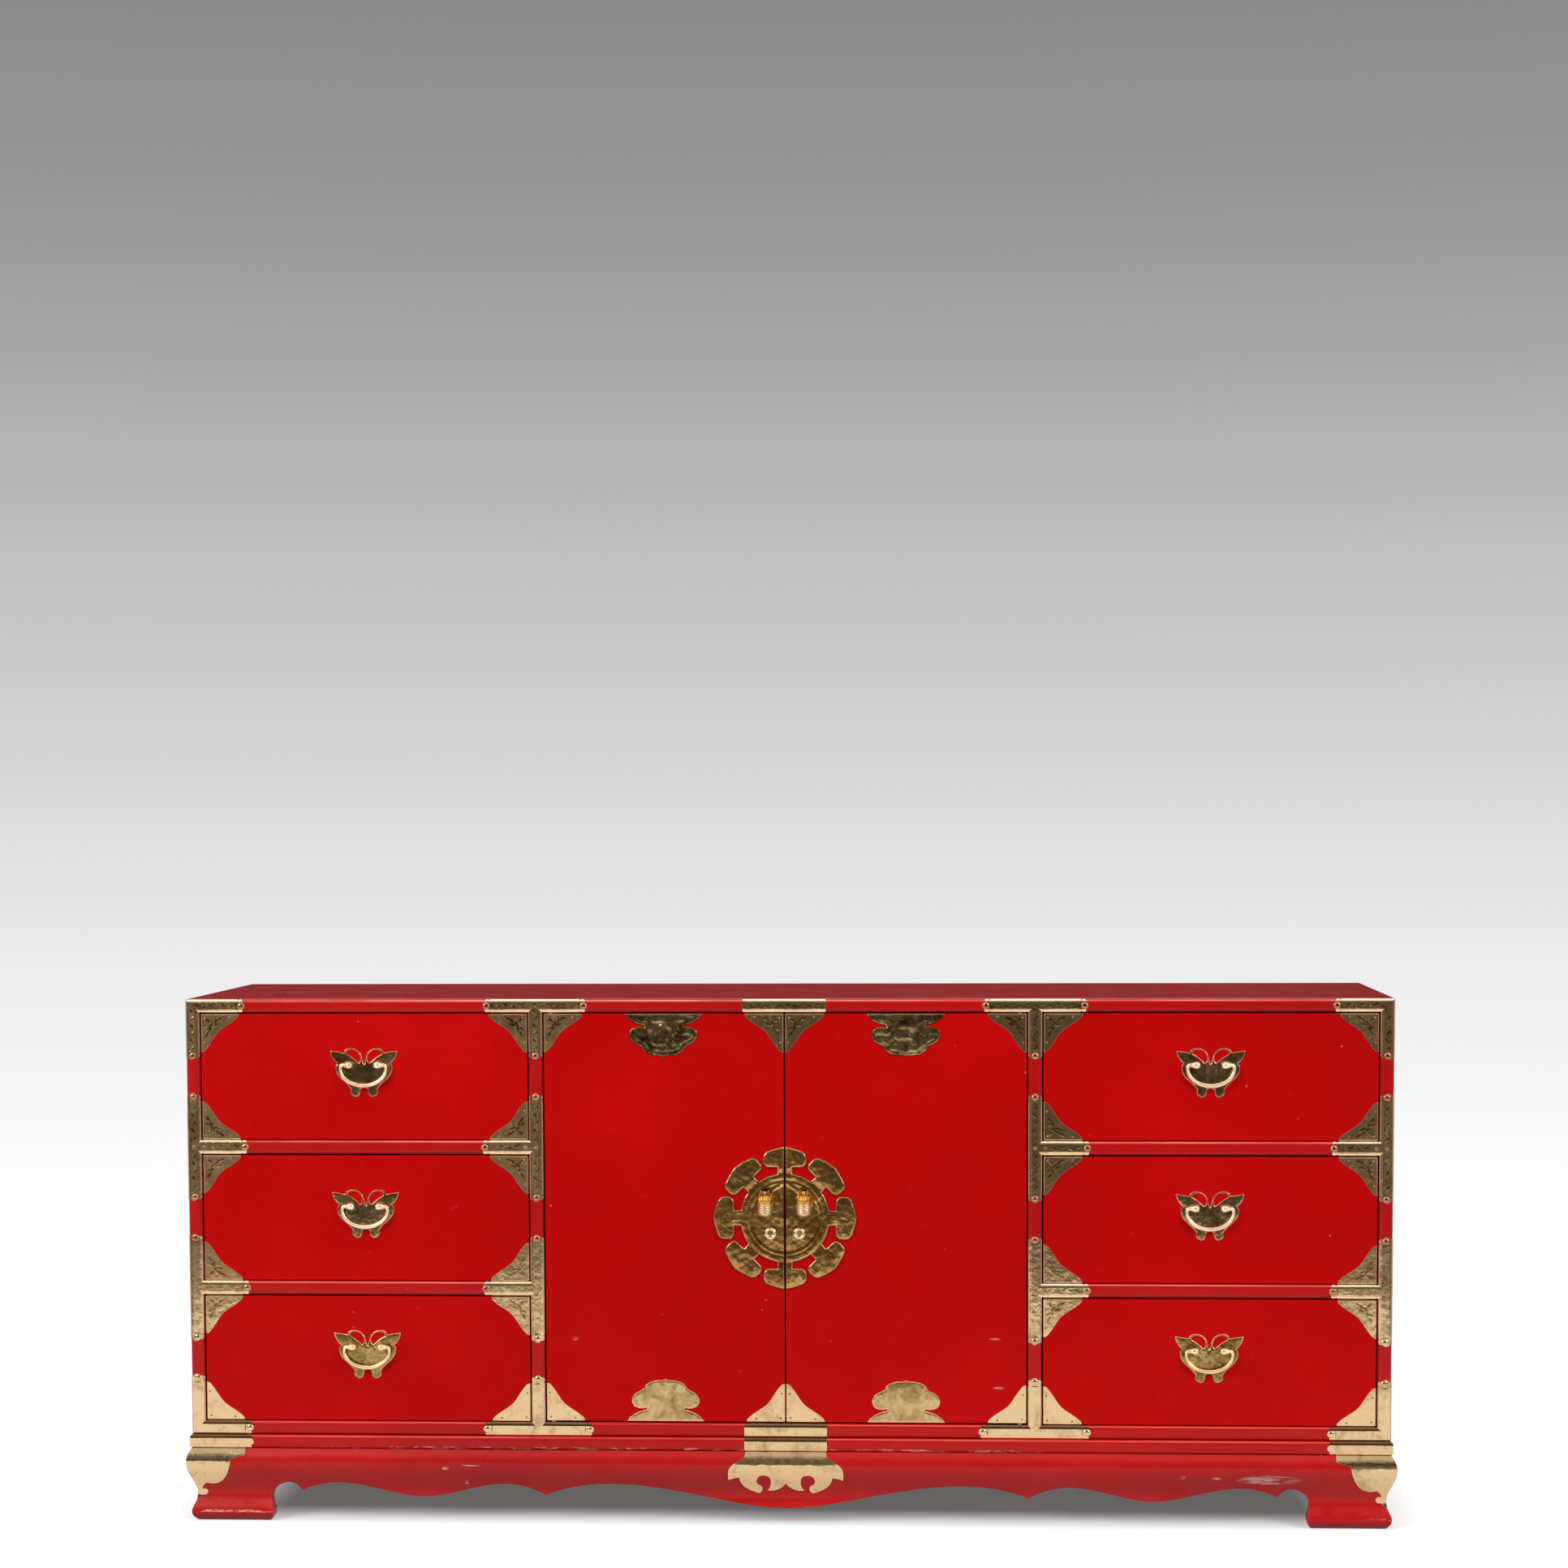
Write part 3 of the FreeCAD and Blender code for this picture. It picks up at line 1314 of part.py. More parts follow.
def door(side_name, side, medallion):
    name = f"{side_name}_door"
    inner, outer = dim("door_gap") / 2, door_x - reveal
    x_low, x_high = (inner, outer) if side > 0 else (-outer, -inner)
    z_low, z_high = opening_floor + reveal, opening_top - reveal
    middle = (x_low + x_high) / 2

    # Knife hinges: a leaf let into each end of the door turns on a pin fixed in the rail
    pin = dim("hinge_pin_diameter")
    pivot = side * hinge_pivot_x
    leaves = []
    pins = []
    mortises = []
    washer = reveal - running_gap
    for end, door_low, case_low, pin_low, washer_low in (
        ("top", z_high - leaf_thickness, opening_top, z_high - leaf_thickness + running_gap, z_high),
        ("bottom", z_low, opening_floor - leaf_thickness, opening_floor, z_low - washer),
    ):
        door_high = door_low + leaf_thickness
        mortises.append(hinge_leaf(f"{name}_{end}_mortise", side, door_low, door_high))
        blank = fuse(
            f"{name}_{end}_leaf_blank",
            [
                hinge_leaf(f"{name}_{end}_flat", side, door_low, door_high),
                rod(
                    f"{name}_{end}_washer",
                    dim("hinge_washer_diameter"),
                    washer,
                    (pivot, hinge_pivot_y, washer_low),
                    *ALONG_Z,
                ),
            ],
        )
        bore_low = door_low if end == "top" else washer_low
        bore = rod(
            f"{name}_{end}_hinge_bore",
            pin + dim("pin_gap") * 2,
            leaf_thickness + washer,
            (pivot, hinge_pivot_y, bore_low),
            *ALONG_Z,
        )
        leaves.append(cut(f"{name}_{end}_leaf", blank, [bore]))
        pins.append(
            fuse(
                f"{name}_{end}_case_leaf",
                [
                    hinge_leaf(f"{name}_{end}_case_flat", side, case_low, case_low + leaf_thickness),
                    rod(
                        f"{name}_{end}_pin",
                        pin,
                        reveal + leaf_thickness - running_gap,
                        (pivot, hinge_pivot_y, pin_low),
                        *ALONG_Z,
                    ),
                ],
            )
        )
    blank = fronted_panel(f"{name}_blank", x_low, x_high, z_low, z_high)
    node(cut(f"{name}_panel", blank, mortises))
    node(group(f"{name}_hinge_leaves", leaves))

    edge = dim("front_edge_round")
    loops = corner_plates(x_low, x_high, z_low, z_high)
    loops.append(cloud_plate(middle, z_low + edge, 1))
    loops.append(cloud_plate(middle, z_high - edge, -1))
    node(extrude(f"{name}_plates", loops, plate_thickness, y=face))

    # Medallion half, with an eyelet and the two ears that hold the drop's pin
    reach = dim("medallion_radius") + reveal
    half_plate = common(
        f"{name}_medallion_plate",
        medallion,
        side_box(
            f"{name}_medallion_half",
            side,
            inner,
            reach,
            medallion_face,
            face,
            medallion_z - reach,
            medallion_z + reach,
        ),
    )
    ring = doc.addObject("Part::Torus", f"{name}_eyelet_ring")
    turn(ring, FreeCAD.Vector(1, 0, 0), 90)
    bind(ring, Radius1=dim("eyelet_radius"), Radius2=dim("eyelet_wire") / 2)
    eyelet_x, eyelet_z = side * dim("eyelet_offset"), medallion_z - dim("eyelet_drop")
    place(ring, eyelet_x, medallion_face - dim("eyelet_wire") / 4, eyelet_z)
    eyelet_back = dim("eyelet_radius") + dim("eyelet_wire")
    eyelet = cut(
        f"{name}_eyelet",
        ring,
        [
            box(
                f"{name}_eyelet_seat",
                (eyelet_x - eyelet_back, medallion_face, eyelet_z - eyelet_back),
                (eyelet_x + eyelet_back, face, eyelet_z + eyelet_back),
            )
        ],
    )
    drop_x = side * dim("drop_offset")
    drop_y = medallion_face - dim("drop_standoff")
    drop_z = medallion_z + dim("drop_pivot_rise")
    neck = dim("drop_neck_diameter") / 2
    ear = dim("drop_ear_thickness")
    half_ear = dim("drop_ear_width") / 2
    drop_pin = dim("drop_pin_diameter")
    fittings = [half_plate, eyelet]
    bracket = []
    for end in (-1, 1):
        ear_inner = drop_x + end * (neck + running_gap)
        ear_outer = ear_inner + end * ear
        ear_low, ear_high = (ear_inner, ear_outer) if end > 0 else (ear_outer, ear_inner)
        bracket += [
            box(
                f"{name}_ear_{end}",
                (ear_low, drop_y, drop_z - half_ear),
                (ear_high, medallion_face, drop_z + half_ear),
            ),
            rod(f"{name}_ear_nose_{end}", half_ear * 2, ear, (ear_low, drop_y, drop_z), *ALONG_X),
        ]
    span = neck + running_gap + ear
    bracket.append(rod(f"{name}_drop_pin", drop_pin, span * 2, (drop_x - span, drop_y, drop_z), *ALONG_X))
    fittings.append(fuse(f"{name}_drop_bracket", bracket))
    node(group(f"{name}_medallion", fittings))

    bell = doc.addObject("Part::Revolution", f"{name}_bell")
    outline = doc.addObject("Sketcher::SketchObject", f"{name}_bell_sketch")
    outline.Placement = FreeCAD.Placement(FreeCAD.Vector(), TURN_XZ)
    outline.addGeometry([curve(points) for points in drop_profile()], False)
    place(outline, drop_x, drop_y, drop_z)
    bell.Source = outline
    bell.Axis = (0, 0, 1)
    bind(bell, Base__x=drop_x, Base__y=drop_y, Base__z=drop_z)
    bell.Angle = 360
    bell.Solid = True
    bore_start = (drop_x - neck * 2, drop_y, drop_z)
    drop_bore = rod(f"{name}_drop_bore", drop_pin + dim("pin_gap") * 2, neck * 4, bore_start, *ALONG_X)
    node(cut(f"{name}_drop_pull", bell, [drop_bore]))
    return pins


face_frame()
case_panels()
drawer_runners()
door_catches()
base_moulding()
base_boards()
frame_straps()
base_mounts()
for drawer_side, sign in SIDES.items():
    for drawer_row in ROWS:
        drawer(drawer_side, sign, drawer_row)
medallion_blank = extrude("medallion_blank", [medallion_outline()], dim("medallion_thickness"), y=face)
case_leaves = []
for door_side, sign in SIDES.items():
    case_leaves += door(door_side, sign, medallion_blank)
node(group("case_hinge_leaves", case_leaves))

doc.recompute()
for item in doc.Objects:
    if "Invalid" in item.State or "Error" in item.State:
        raise RuntimeError(f"{item.Name} failed to build: {item.State}")
for item in nodes:
    if item.Shape.isNull() or not item.Shape.isValid():
        raise RuntimeError(f"{item.Label} has no valid shape")

os.makedirs("parts", exist_ok=True)
for item in nodes:
    item.Shape.exportStep(f"parts/{item.Label}.step")
    print(item.Label, len(item.Shape.Solids), "solids", round(item.Shape.Volume), "mm3")
print(len(nodes), "sub-parts")
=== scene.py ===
import math

import bmesh
import bpy
import numpy as np
from mathutils import Matrix, Vector, noise
from mathutils.geometry import delaunay_2d_cdt

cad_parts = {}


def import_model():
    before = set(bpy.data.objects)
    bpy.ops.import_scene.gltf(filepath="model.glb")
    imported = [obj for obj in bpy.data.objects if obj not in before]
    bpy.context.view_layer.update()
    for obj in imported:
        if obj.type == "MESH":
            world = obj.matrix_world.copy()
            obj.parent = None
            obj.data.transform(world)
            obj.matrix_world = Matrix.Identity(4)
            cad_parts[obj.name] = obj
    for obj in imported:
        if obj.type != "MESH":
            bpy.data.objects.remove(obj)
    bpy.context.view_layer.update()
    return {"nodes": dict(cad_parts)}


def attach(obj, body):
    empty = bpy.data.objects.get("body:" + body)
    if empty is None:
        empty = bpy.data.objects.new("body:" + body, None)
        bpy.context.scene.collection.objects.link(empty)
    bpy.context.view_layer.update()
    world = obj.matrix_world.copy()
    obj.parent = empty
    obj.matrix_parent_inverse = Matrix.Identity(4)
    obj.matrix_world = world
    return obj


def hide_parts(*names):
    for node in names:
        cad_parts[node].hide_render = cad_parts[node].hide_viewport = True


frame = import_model()

nodes = frame["nodes"]
SIDES = {"left": -1, "right": 1}
ROWS = ("bottom", "middle", "top")
DRAWERS = [f"{side}_{row}_drawer" for side in SIDES for row in ROWS]
DOORS = [f"{side}_door" for side in SIDES]


# Shader helpers


class Shader:
    """Adds nodes to one material, each with its inputs given by name."""

    def __init__(self, tree):
        self.tree = tree

    def feed(self, socket, value):
        """Links another node's output to a socket, or sets a constant on it."""
        if isinstance(value, bpy.types.NodeSocket):
            self.tree.links.new(value, socket)
        else:
            socket.default_value = value

    def fill(self, item, **inputs):
        for name, value in inputs.items():
            self.feed(item.inputs[name.replace("_", " ")], value)

    def add(self, kind, settings=None, **inputs):
        item = self.tree.nodes.new(kind)
        for name, value in (settings or {}).items():
            setattr(item, name, value)
        self.fill(item, **inputs)
        return item

    def math(self, operation, one, two=0.0):
        item = self.add("ShaderNodeMath", {"operation": operation})
        self.feed(item.inputs[0], one)
        self.feed(item.inputs[1], two)
        return item.outputs[0]

    def times(self, product, *others):
        for other in others:
            product = self.math("MULTIPLY", product, other)
        return product

    def mix(self, factor, one, two, blend="MIX"):
        item = self.add("ShaderNodeMix", {"data_type": "RGBA", "blend_type": blend})
        for index, value in ((0, factor), (6, one), (7, two)):
            self.feed(item.inputs[index], value)
        return item.outputs[2]

    def span(self, value, low, high, out_low=0.0, out_high=1.0):
        item = self.add(
            "ShaderNodeMapRange", Value=value, From_Min=low, From_Max=high, To_Min=out_low, To_Max=out_high
        )
        return item.outputs[0]

    def noise(self, vector, scale, detail=3.0, roughness=0.55, distortion=0.0):
        item = self.add(
            "ShaderNodeTexNoise",
            Vector=vector,
            Scale=scale,
            Detail=detail,
            Roughness=roughness,
            Distortion=distortion,
        )
        return item.outputs[0]

    def ramp(self, value, stops):
        item = self.add("ShaderNodeValToRGB", Fac=value)
        bar = item.color_ramp
        bar.elements.remove(bar.elements[1])
        bar.elements[0].position, bar.elements[0].color = stops[0]
        for place, colour in stops[1:]:
            bar.elements.new(place).color = colour
        return item.outputs[0]

    def coordinates(self, stretch=None):
        place = self.add("ShaderNodeTexCoord").outputs["Object"]
        if stretch is None:
            return place
        return self.add("ShaderNodeMapping", Vector=place, Scale=stretch).outputs[0]

    def parts(self, vector):
        """The X, Y and Z of a vector."""
        return self.add("ShaderNodeSeparateXYZ", Vector=vector).outputs

    def normal(self):
        return self.add("ShaderNodeNewGeometry").outputs["Normal"]

    def edges(self, radius):
        """1 on sharp or rounded edges, 0 on flats: how far a bevelled normal turns from the true one."""
        soft = self.add("ShaderNodeBevel", {"samples": 6}, Radius=radius).outputs[0]
        dot = self.add("ShaderNodeVectorMath", {"operation": "DOT_PRODUCT"})
        self.feed(dot.inputs[0], soft)
        self.feed(dot.inputs[1], self.normal())
        return self.span(dot.outputs["Value"], 0.995, 0.8)

    def bump(self, height, strength, distance):
        return self.add("ShaderNodeBump", Strength=strength, Distance=distance, Height=height).outputs[0]


def rgb(red, green, blue):
    """A colour written as it shows on screen, from 0 to 255."""
    values = []
    for part in (red, green, blue):
        share = part / 255
        values.append(share / 12.92 if share <= 0.04045 else ((share + 0.055) / 1.055) ** 2.4)
    return (*values, 1.0)


def grey(level):
    return (level, level, level, 1.0)


def new_material(name):
    material = bpy.data.materials.new(name)
    material.use_nodes = True
    tree = material.node_tree
    tree.nodes.clear()
    shader = Shader(tree)
    surface = shader.add("ShaderNodeBsdfPrincipled")
    shader.add("ShaderNodeOutputMaterial", Surface=surface.outputs[0])
    return material, shader, surface


# Materials

# Lacquer: places on its ramp with the red, and the green and blue, of each shade, then colours of its wear, of the
# painted shade on its top and of the painted highlight on its ridges
LACQUER_SHADES = ((0.30, 186, 6), (0.50, 200, 8), (0.70, 212, 11))
SPECKED = rgb(224, 120, 104)
RUBBED = rgb(216, 96, 80)
PAINTED_TOP_SHADE = rgb(90, 5, 6)
PAINTED_RIDGE_HIGHLIGHT = rgb(246, 168, 148)
CHIPPED = rgb(236, 184, 166)
SCRATCHED = rgb(222, 176, 162)
LOST_SHARE = 0.85

# Brass: the colour of its dark spots, the painted pink reflection on its flanks and the painted shade on its
# shelves, and how much of the metal look the painted rims and flanks lose
SPOTTED = rgb(84, 66, 34)
PAINTED_FLANK_REFLECTION = rgb(206, 152, 130)
PAINTED_SHELF_SHADE = rgb(106, 62, 38)
MATTE = 0.8


def painted_ridge_highlight(shader, place, upward):
    """A painted highlight along a rounded front edge, where a bar would catch the light overhead: patchy, and
    weaker towards the floor.
    """
    line = shader.times(shader.span(upward, 0.42, 0.60), shader.span(upward, 0.72, 0.84, 1.0, 0.0))
    patches = shader.noise(shader.coordinates((1.0, 0.3, 0.3)), 5.0, 3.0)
    highlight_strength = shader.span(patches, 0.35, 0.62, 0.25, 1.0)
    highlight_strength = shader.times(highlight_strength, shader.span(shader.parts(place)["Z"], 0.16, 0.55, 0.35, 1.0))
    return shader.times(line, highlight_strength)


def chip_mask(shader, place, chips):
    """Lost flakes in groups, within a band of height and, where ends are given, on the front between them."""
    where = shader.parts(place)
    middle = (chips["low"] + chips["high"]) / 2
    reach = (chips["high"] - chips["low"]) / 2
    away = shader.math("ABSOLUTE", shader.math("SUBTRACT", where["Z"], middle))
    band = shader.span(away, reach * 0.5, reach, 1.0, 0.0)
    grain = shader.noise(shader.coordinates((0.34, 1.0, 1.6)), 105.0, 4.0, 0.75)
    flake = shader.span(grain, 0.51, 0.57)
    group = shader.span(shader.noise(place, 4.5, 2.0, 0.5), chips["rare"], chips["rare"] + 0.08)
    chip = shader.times(band, flake, group)
    if "left" in chips:
        begin = shader.span(where["X"], chips["left"], chips["left"] + 0.1)
        end = shader.span(where["X"], chips["right"] - 0.1, chips["right"], 1.0, 0.0)
        front = shader.span(where["Y"], -0.20, -0.21)
        chip = shader.times(chip, shader.times(begin, end), front)
    return chip


def mark_mask(shader, place, marks):
    """Scratches inside ellipses, each given by its middle and its half sizes in x and z."""
    total = None
    for x, z, half_x, half_z in marks:
        shift = shader.add(
            "ShaderNodeMapping",
            Vector=place,
            Location=(-x / half_x, 0.0, -z / half_z),
            Scale=(1 / half_x, 0.0, 1 / half_z),
        )
        reach = shader.add("ShaderNodeVectorMath", {"operation": "LENGTH"})
        shader.feed(reach.inputs[0], shift.outputs[0])
        inside = shader.span(reach.outputs["Value"], 0.6, 1.0, 1.0, 0.0)
        total = inside if total is None else shader.math("MAXIMUM", total, inside)
    grain = shader.noise(shader.coordinates((0.22, 1.0, 1.5)), 130.0, 4.0, 0.7)
    return shader.times(total, shader.span(grain, 0.45, 0.55))


def lacquer(
    name,
    gloss=0.07,
    tone=1.0,
    ridge=0.0,
    chips=None,
    marks=(),
    rough=(0.24, 0.38),
    painted_top_shade=0.0,
):
    """Red lacquer: faint clouding and brush lines, specks, worn edges, a painted highlight on ridges, painted
    shade on the top, chips and marks.
    """
    material, shader, surface = new_material(name)
    place = shader.coordinates()
    cloud = shader.noise(place, 3.0, 4.0, 0.55)
    streak = shader.noise(shader.coordinates((3.0, 60.0, 60.0)), 6.0, 3.0, 0.6)
    shades = [(stop, rgb(red * tone, other, other)) for stop, red, other in LACQUER_SHADES]
    colour = shader.ramp(cloud, shades)
    colour = shader.mix(shader.span(streak, 0.35, 0.75, 0.0, 0.30), colour, rgb(188 * tone, 7, 7))
    speck = shader.span(shader.noise(place, 70.0, 2.0, 0.7), 0.76, 0.79)
    colour = shader.mix(shader.times(speck, 0.6), colour, SPECKED)
    worn = shader.span(shader.noise(place, 34.0, 4.0, 0.7), 0.52, 0.66)
    colour = shader.mix(shader.times(shader.edges(0.003), worn, 0.5), colour, RUBBED)
    upward = shader.parts(shader.normal())["Z"]
    # Upward faces are darkened towards a deep red: painted shade on the top.
    if painted_top_shade:
        colour = shader.mix(shader.span(upward, 0.80, 0.97, 0.0, painted_top_shade), colour, PAINTED_TOP_SHADE)
    # A painted highlight along the ridges of the rounded bars.
    if ridge:
        colour = shader.mix(shader.times(painted_ridge_highlight(shader, place, upward), ridge), colour, PAINTED_RIDGE_HIGHLIGHT)
    if chips is not None:
        colour = shader.mix(shader.times(chip_mask(shader, place, chips), LOST_SHARE), colour, CHIPPED)
    if marks:
        colour = shader.mix(shader.times(mark_mask(shader, place, marks), LOST_SHARE), colour, SCRATCHED)
    fine = shader.noise(place, 260.0, 2.0, 0.6)
    brushing = shader.math("ADD", shader.times(fine, 0.15), shader.times(streak, 0.5))
    shader.fill(
        surface,
        Base_Color=colour,
        Roughness=shader.span(shader.noise(place, 18.0, 4.0, 0.6), 0.3, 0.7, *rough),
        Specular_IOR_Level=gloss,
        Coat_Weight=gloss / 3,
        Coat_Roughness=0.16,
        Normal=shader.bump(brushing, 0.06, 0.001),
    )
    return material


def brass(
    name,
    bright,
    dull,
    rough,
    tarnish,
    polish_and_highlight=None,
    edge=(0.7, (243, 214, 150)),
    calm=False,
    painted_shade_heights=(),
    steep=(),
):
    """Aged brass: dull patches, dark spots and rims with a painted highlight.

    edge is the strength and colour of the rims' painted highlight, and steep the slants that count as rims too;
    rims lose some of the metal look so that the paint shows. rubbed paints faces that turn up or down pale, partly
    as polished wear and partly as a painted highlight, and paints flanks pink and less metallic as a painted
    reflection. sooty gives the heights between which upward faces get a painted shade. calm means paler colour and
    flatter sheet near the floor.
    """
    material, shader, surface = new_material(name)
    place = shader.coordinates()
    level = shader.parts(place)["Z"]
    facing = shader.parts(shader.normal())
    patch = shader.noise(place, 28.0, 5.0, 0.65, 0.6)
    grit = shader.noise(place, 150.0, 4.0, 0.7)
    mask = shader.math("ADD", shader.times(patch, 0.7), shader.times(grit, 0.3))
    # Paler colour towards the floor.
    if calm:
        mask = shader.math("SUBTRACT", mask, shader.span(level, 0.16, 0.42, 0.08, 0.0))
    colour = shader.ramp(mask, [(tarnish - 0.14, rgb(*bright)), (tarnish + 0.10, rgb(*dull))])
    spot = shader.span(shader.noise(place, 120.0, 3.0, 0.7), 0.66, 0.72)
    colour = shader.mix(shader.times(spot, 0.45), colour, SPOTTED)
    # Rims and steep slants are painted pale or pink and made less metallic: a painted highlight and reflection.
    strength, light = edge
    rim = shader.times(shader.edges(0.0012), strength)
    if steep:
        forward = shader.math("ABSOLUTE", facing["Y"])
        rim = shader.math("MAXIMUM", rim, shader.span(forward, *steep, 0.0, strength))
    colour = shader.mix(rim, colour, rgb(*light))
    metallic = shader.math("SUBTRACT", 1.0, shader.times(rim, MATTE))
    # Faces turned up or down are painted pale: polished wear, and a painted highlight of the light above and the
    # floor below.
    if polish_and_highlight is not None:
        turned = shader.span(shader.math("ABSOLUTE", facing["Z"]), 0.30, 0.60, 0.0, 0.85)
        colour = shader.mix(turned, colour, rgb(*polish_and_highlight))
        # Flanks turned sideways are painted pink and made less metallic: a painted reflection of the red lacquer.
        aside = shader.math("ABSOLUTE", facing["X"])
        flank = shader.times(shader.span(aside, 0.50, 0.78), shader.span(aside, 0.90, 0.97, 0.75, 0.0))
        colour = shader.mix(flank, colour, PAINTED_FLANK_REFLECTION)
        metallic = shader.math("SUBTRACT", metallic, shader.times(flank, MATTE))
    # Upward shelves between two heights get a dark brown painted shade.
    if painted_shade_heights:
        over = shader.math("GREATER_THAN", level, painted_shade_heights[0])
        under = shader.math("LESS_THAN", level, painted_shade_heights[1])
        shelf = shader.span(facing["Z"], 0.08, 0.24, 0.0, 0.92)
        colour = shader.mix(shader.times(shelf, shader.times(over, under)), colour, PAINTED_SHELF_SHADE)
    wave = shader.math("ADD", shader.noise(place, 75.0, 2.0, 0.5), shader.times(grit, 0.18))
    waviness = shader.span(level, 0.25, 0.65, 0.18, 0.40) if calm else 0.40
    shader.fill(
        surface,
        Base_Color=colour,
        Metallic=metallic,
        Roughness=shader.span(mask, 0.35, 0.65, *rough),
        Normal=shader.bump(wave, waviness, 0.0012),
    )
    return material


def plain_wood(name, pale, dark, along):
    """Bare wood: bands and fibres drawn out along the grain, which runs in X, Y or Z."""
    material, shader, surface = new_material(name)
    long_way = tuple(0.045 if axis == along else 1.0 for axis in "XYZ")
    fine_way = tuple(0.020 if axis == along else 1.0 for axis in "XYZ")
    band = shader.noise(shader.coordinates(long_way), 26.0, 5.0, 0.6, 0.8)
    fibre = shader.noise(shader.coordinates(fine_way), 240.0, 3.0, 0.7)
    cloud = shader.noise(shader.coordinates(), 3.0, 3.0, 0.5)
    middle = tuple((one + two) / 2 for one, two in zip(pale, dark))
    colour = shader.ramp(band, [(0.30, dark), (0.46, middle), (0.66, pale)])
    colour = shader.mix(shader.span(fibre, 0.50, 0.72, 0.0, 0.55), colour, dark)
    colour = shader.mix(shader.span(cloud, 0.35, 0.70, 0.0, 0.35), colour, middle)
    grain = shader.math("ADD", shader.times(band, 0.5), fibre)
    shader.fill(
        surface,
        Base_Color=colour,
        Roughness=shader.span(fibre, 0.3, 0.7, 0.50, 0.72),
        Normal=shader.bump(grain, 0.15, 0.0006),
    )
    return material


def small_metal(name, colour, metallic, rough):
    """Hinge steel, catch bodies, or the painted shade in the eyelet bores: fine brushing over a mottled tone."""
    material, shader, surface = new_material(name)
    brushed = shader.noise(shader.coordinates((8.0, 8.0, 90.0)), 60.0, 3.0, 0.7)
    dim = tuple(part * 0.6 for part in colour[:3]) + (1.0,)
    shader.fill(
        surface,
        Base_Color=shader.ramp(brushed, [(0.35, dim), (0.65, colour)]),
        Metallic=metallic,
        Roughness=shader.span(brushed, 0.3, 0.7, rough - 0.08, rough + 0.08),
        Normal=shader.bump(brushed, 0.1, 0.0004),
    )
    return material


# Marks: middle and half sizes in x and z, in metres
DOOR_MARKS = (
    (-0.322, 0.285, 0.006, 0.003),
    (0.318, 0.287, 0.010, 0.002),
    (0.324, 0.212, 0.010, 0.002),
)
APRON_MARKS = (
    (0.732, 0.075, 0.052, 0.008),
    (0.602, 0.078, 0.006, 0.003),
    (0.653, 0.077, 0.008, 0.002),
    (-0.522, 0.085, 0.006, 0.003),
    (-0.483, 0.091, 0.014, 0.003),
    (-0.490, 0.060, 0.003, 0.006),
)
MOULDING_CHIPS = {"low": 0.1125, "high": 0.1185, "rare": 0.33, "left": -0.74, "right": 0.40}
FOOT_CHIPS = {"low": 0.0130, "high": 0.0180, "rare": 0.49}
RED = lacquer("lacquer")
RED_DOOR = lacquer("lacquer_door", marks=DOOR_MARKS)
RED_TOP = lacquer("lacquer_top", gloss=0.020, rough=(0.42, 0.56), painted_top_shade=0.66)
RED_FRAME = lacquer("lacquer_frame", gloss=0.25, tone=0.95, ridge=0.75)
RED_MOULDING = lacquer("lacquer_moulding", gloss=0.25, tone=0.95, ridge=0.75, chips=MOULDING_CHIPS)
RED_APRON = lacquer("lacquer_apron", gloss=0.3, tone=0.95, chips=FOOT_CHIPS, marks=APRON_MARKS)

# Brass: roughness where bright and where dull, rims with a painted highlight as strength and colour, and slants
# from plain to rim
SLEEK, AGED = (0.10, 0.22), (0.12, 0.26)
PINK = (0.8, (252, 186, 146))
COPPERY = (0.85, (214, 122, 94))
SANDY = (0.8, (234, 182, 130))
RUSSET = (0.6, (172, 110, 76))
WING_SLANT = (0.985, 0.92)
SHEET = brass("brass_sheet", (210, 180, 136), (168, 122, 82), SLEEK, 0.57, edge=PINK, calm=True)
STRAP = brass(
    "brass_strap",
    (208, 180, 136),
    (142, 102, 64),
    SLEEK,
    0.56,
    polish_and_highlight=(250, 230, 192),
    calm=True,
    painted_shade_heights=(0.140, 0.160),
)
MOUNT = brass(
    "brass_mount", (206, 178, 134), (146, 112, 72), SLEEK, 0.57, edge=PINK, calm=True, painted_shade_heights=(0.118, 0.140)
)
OLIVE = brass(
    "brass_olive", (194, 166, 114), (130, 104, 58), (0.12, 0.24), 0.48, edge=PINK, calm=True, steep=(0.997, 0.980)
)
WING = brass("brass_wing", (184, 156, 112), (98, 76, 46), AGED, 0.50, edge=COPPERY, steep=WING_SLANT)
LOW_WING = brass("brass_low_wing", (178, 148, 90), (106, 80, 42), AGED, 0.51, edge=SANDY, steep=WING_SLANT)
CAST = brass("brass_cast", (200, 156, 92), (110, 76, 36), AGED, 0.51, edge=RUSSET, steep=(0.975, 0.90))
DARK = brass("brass_tarnished", (170, 134, 82), (74, 56, 28), (0.16, 0.32), 0.47, edge=(0.1, (120, 92, 52)))
FAINT = brass("brass_chased", (192, 156, 108), (128, 94, 58), (0.14, 0.28), 0.50, edge=(0.1, (150, 112, 70)))
MOTTLED = brass("brass_mottled", (172, 146, 98), (52, 42, 22), (0.20, 0.34), 0.49, edge=(0.5, (214, 150, 112)))
PALE = brass("brass_polished", (250, 230, 192), (206, 168, 118), (0.30, 0.46), 0.62)
LOW_HOOP = brass("brass_low_hoop", (240, 216, 160), (196, 162, 106), (0.28, 0.44), 0.62)
RIM = brass("brass_rim", (240, 222, 186), (190, 156, 108), (0.16, 0.28), 0.60)
SHELL = brass("brass_bell", (236, 206, 158), (164, 128, 90), (0.34, 0.50), 0.52)
OCHRE = brass("brass_gilded", (228, 172, 84), (150, 100, 46), (0.30, 0.44), 0.53)

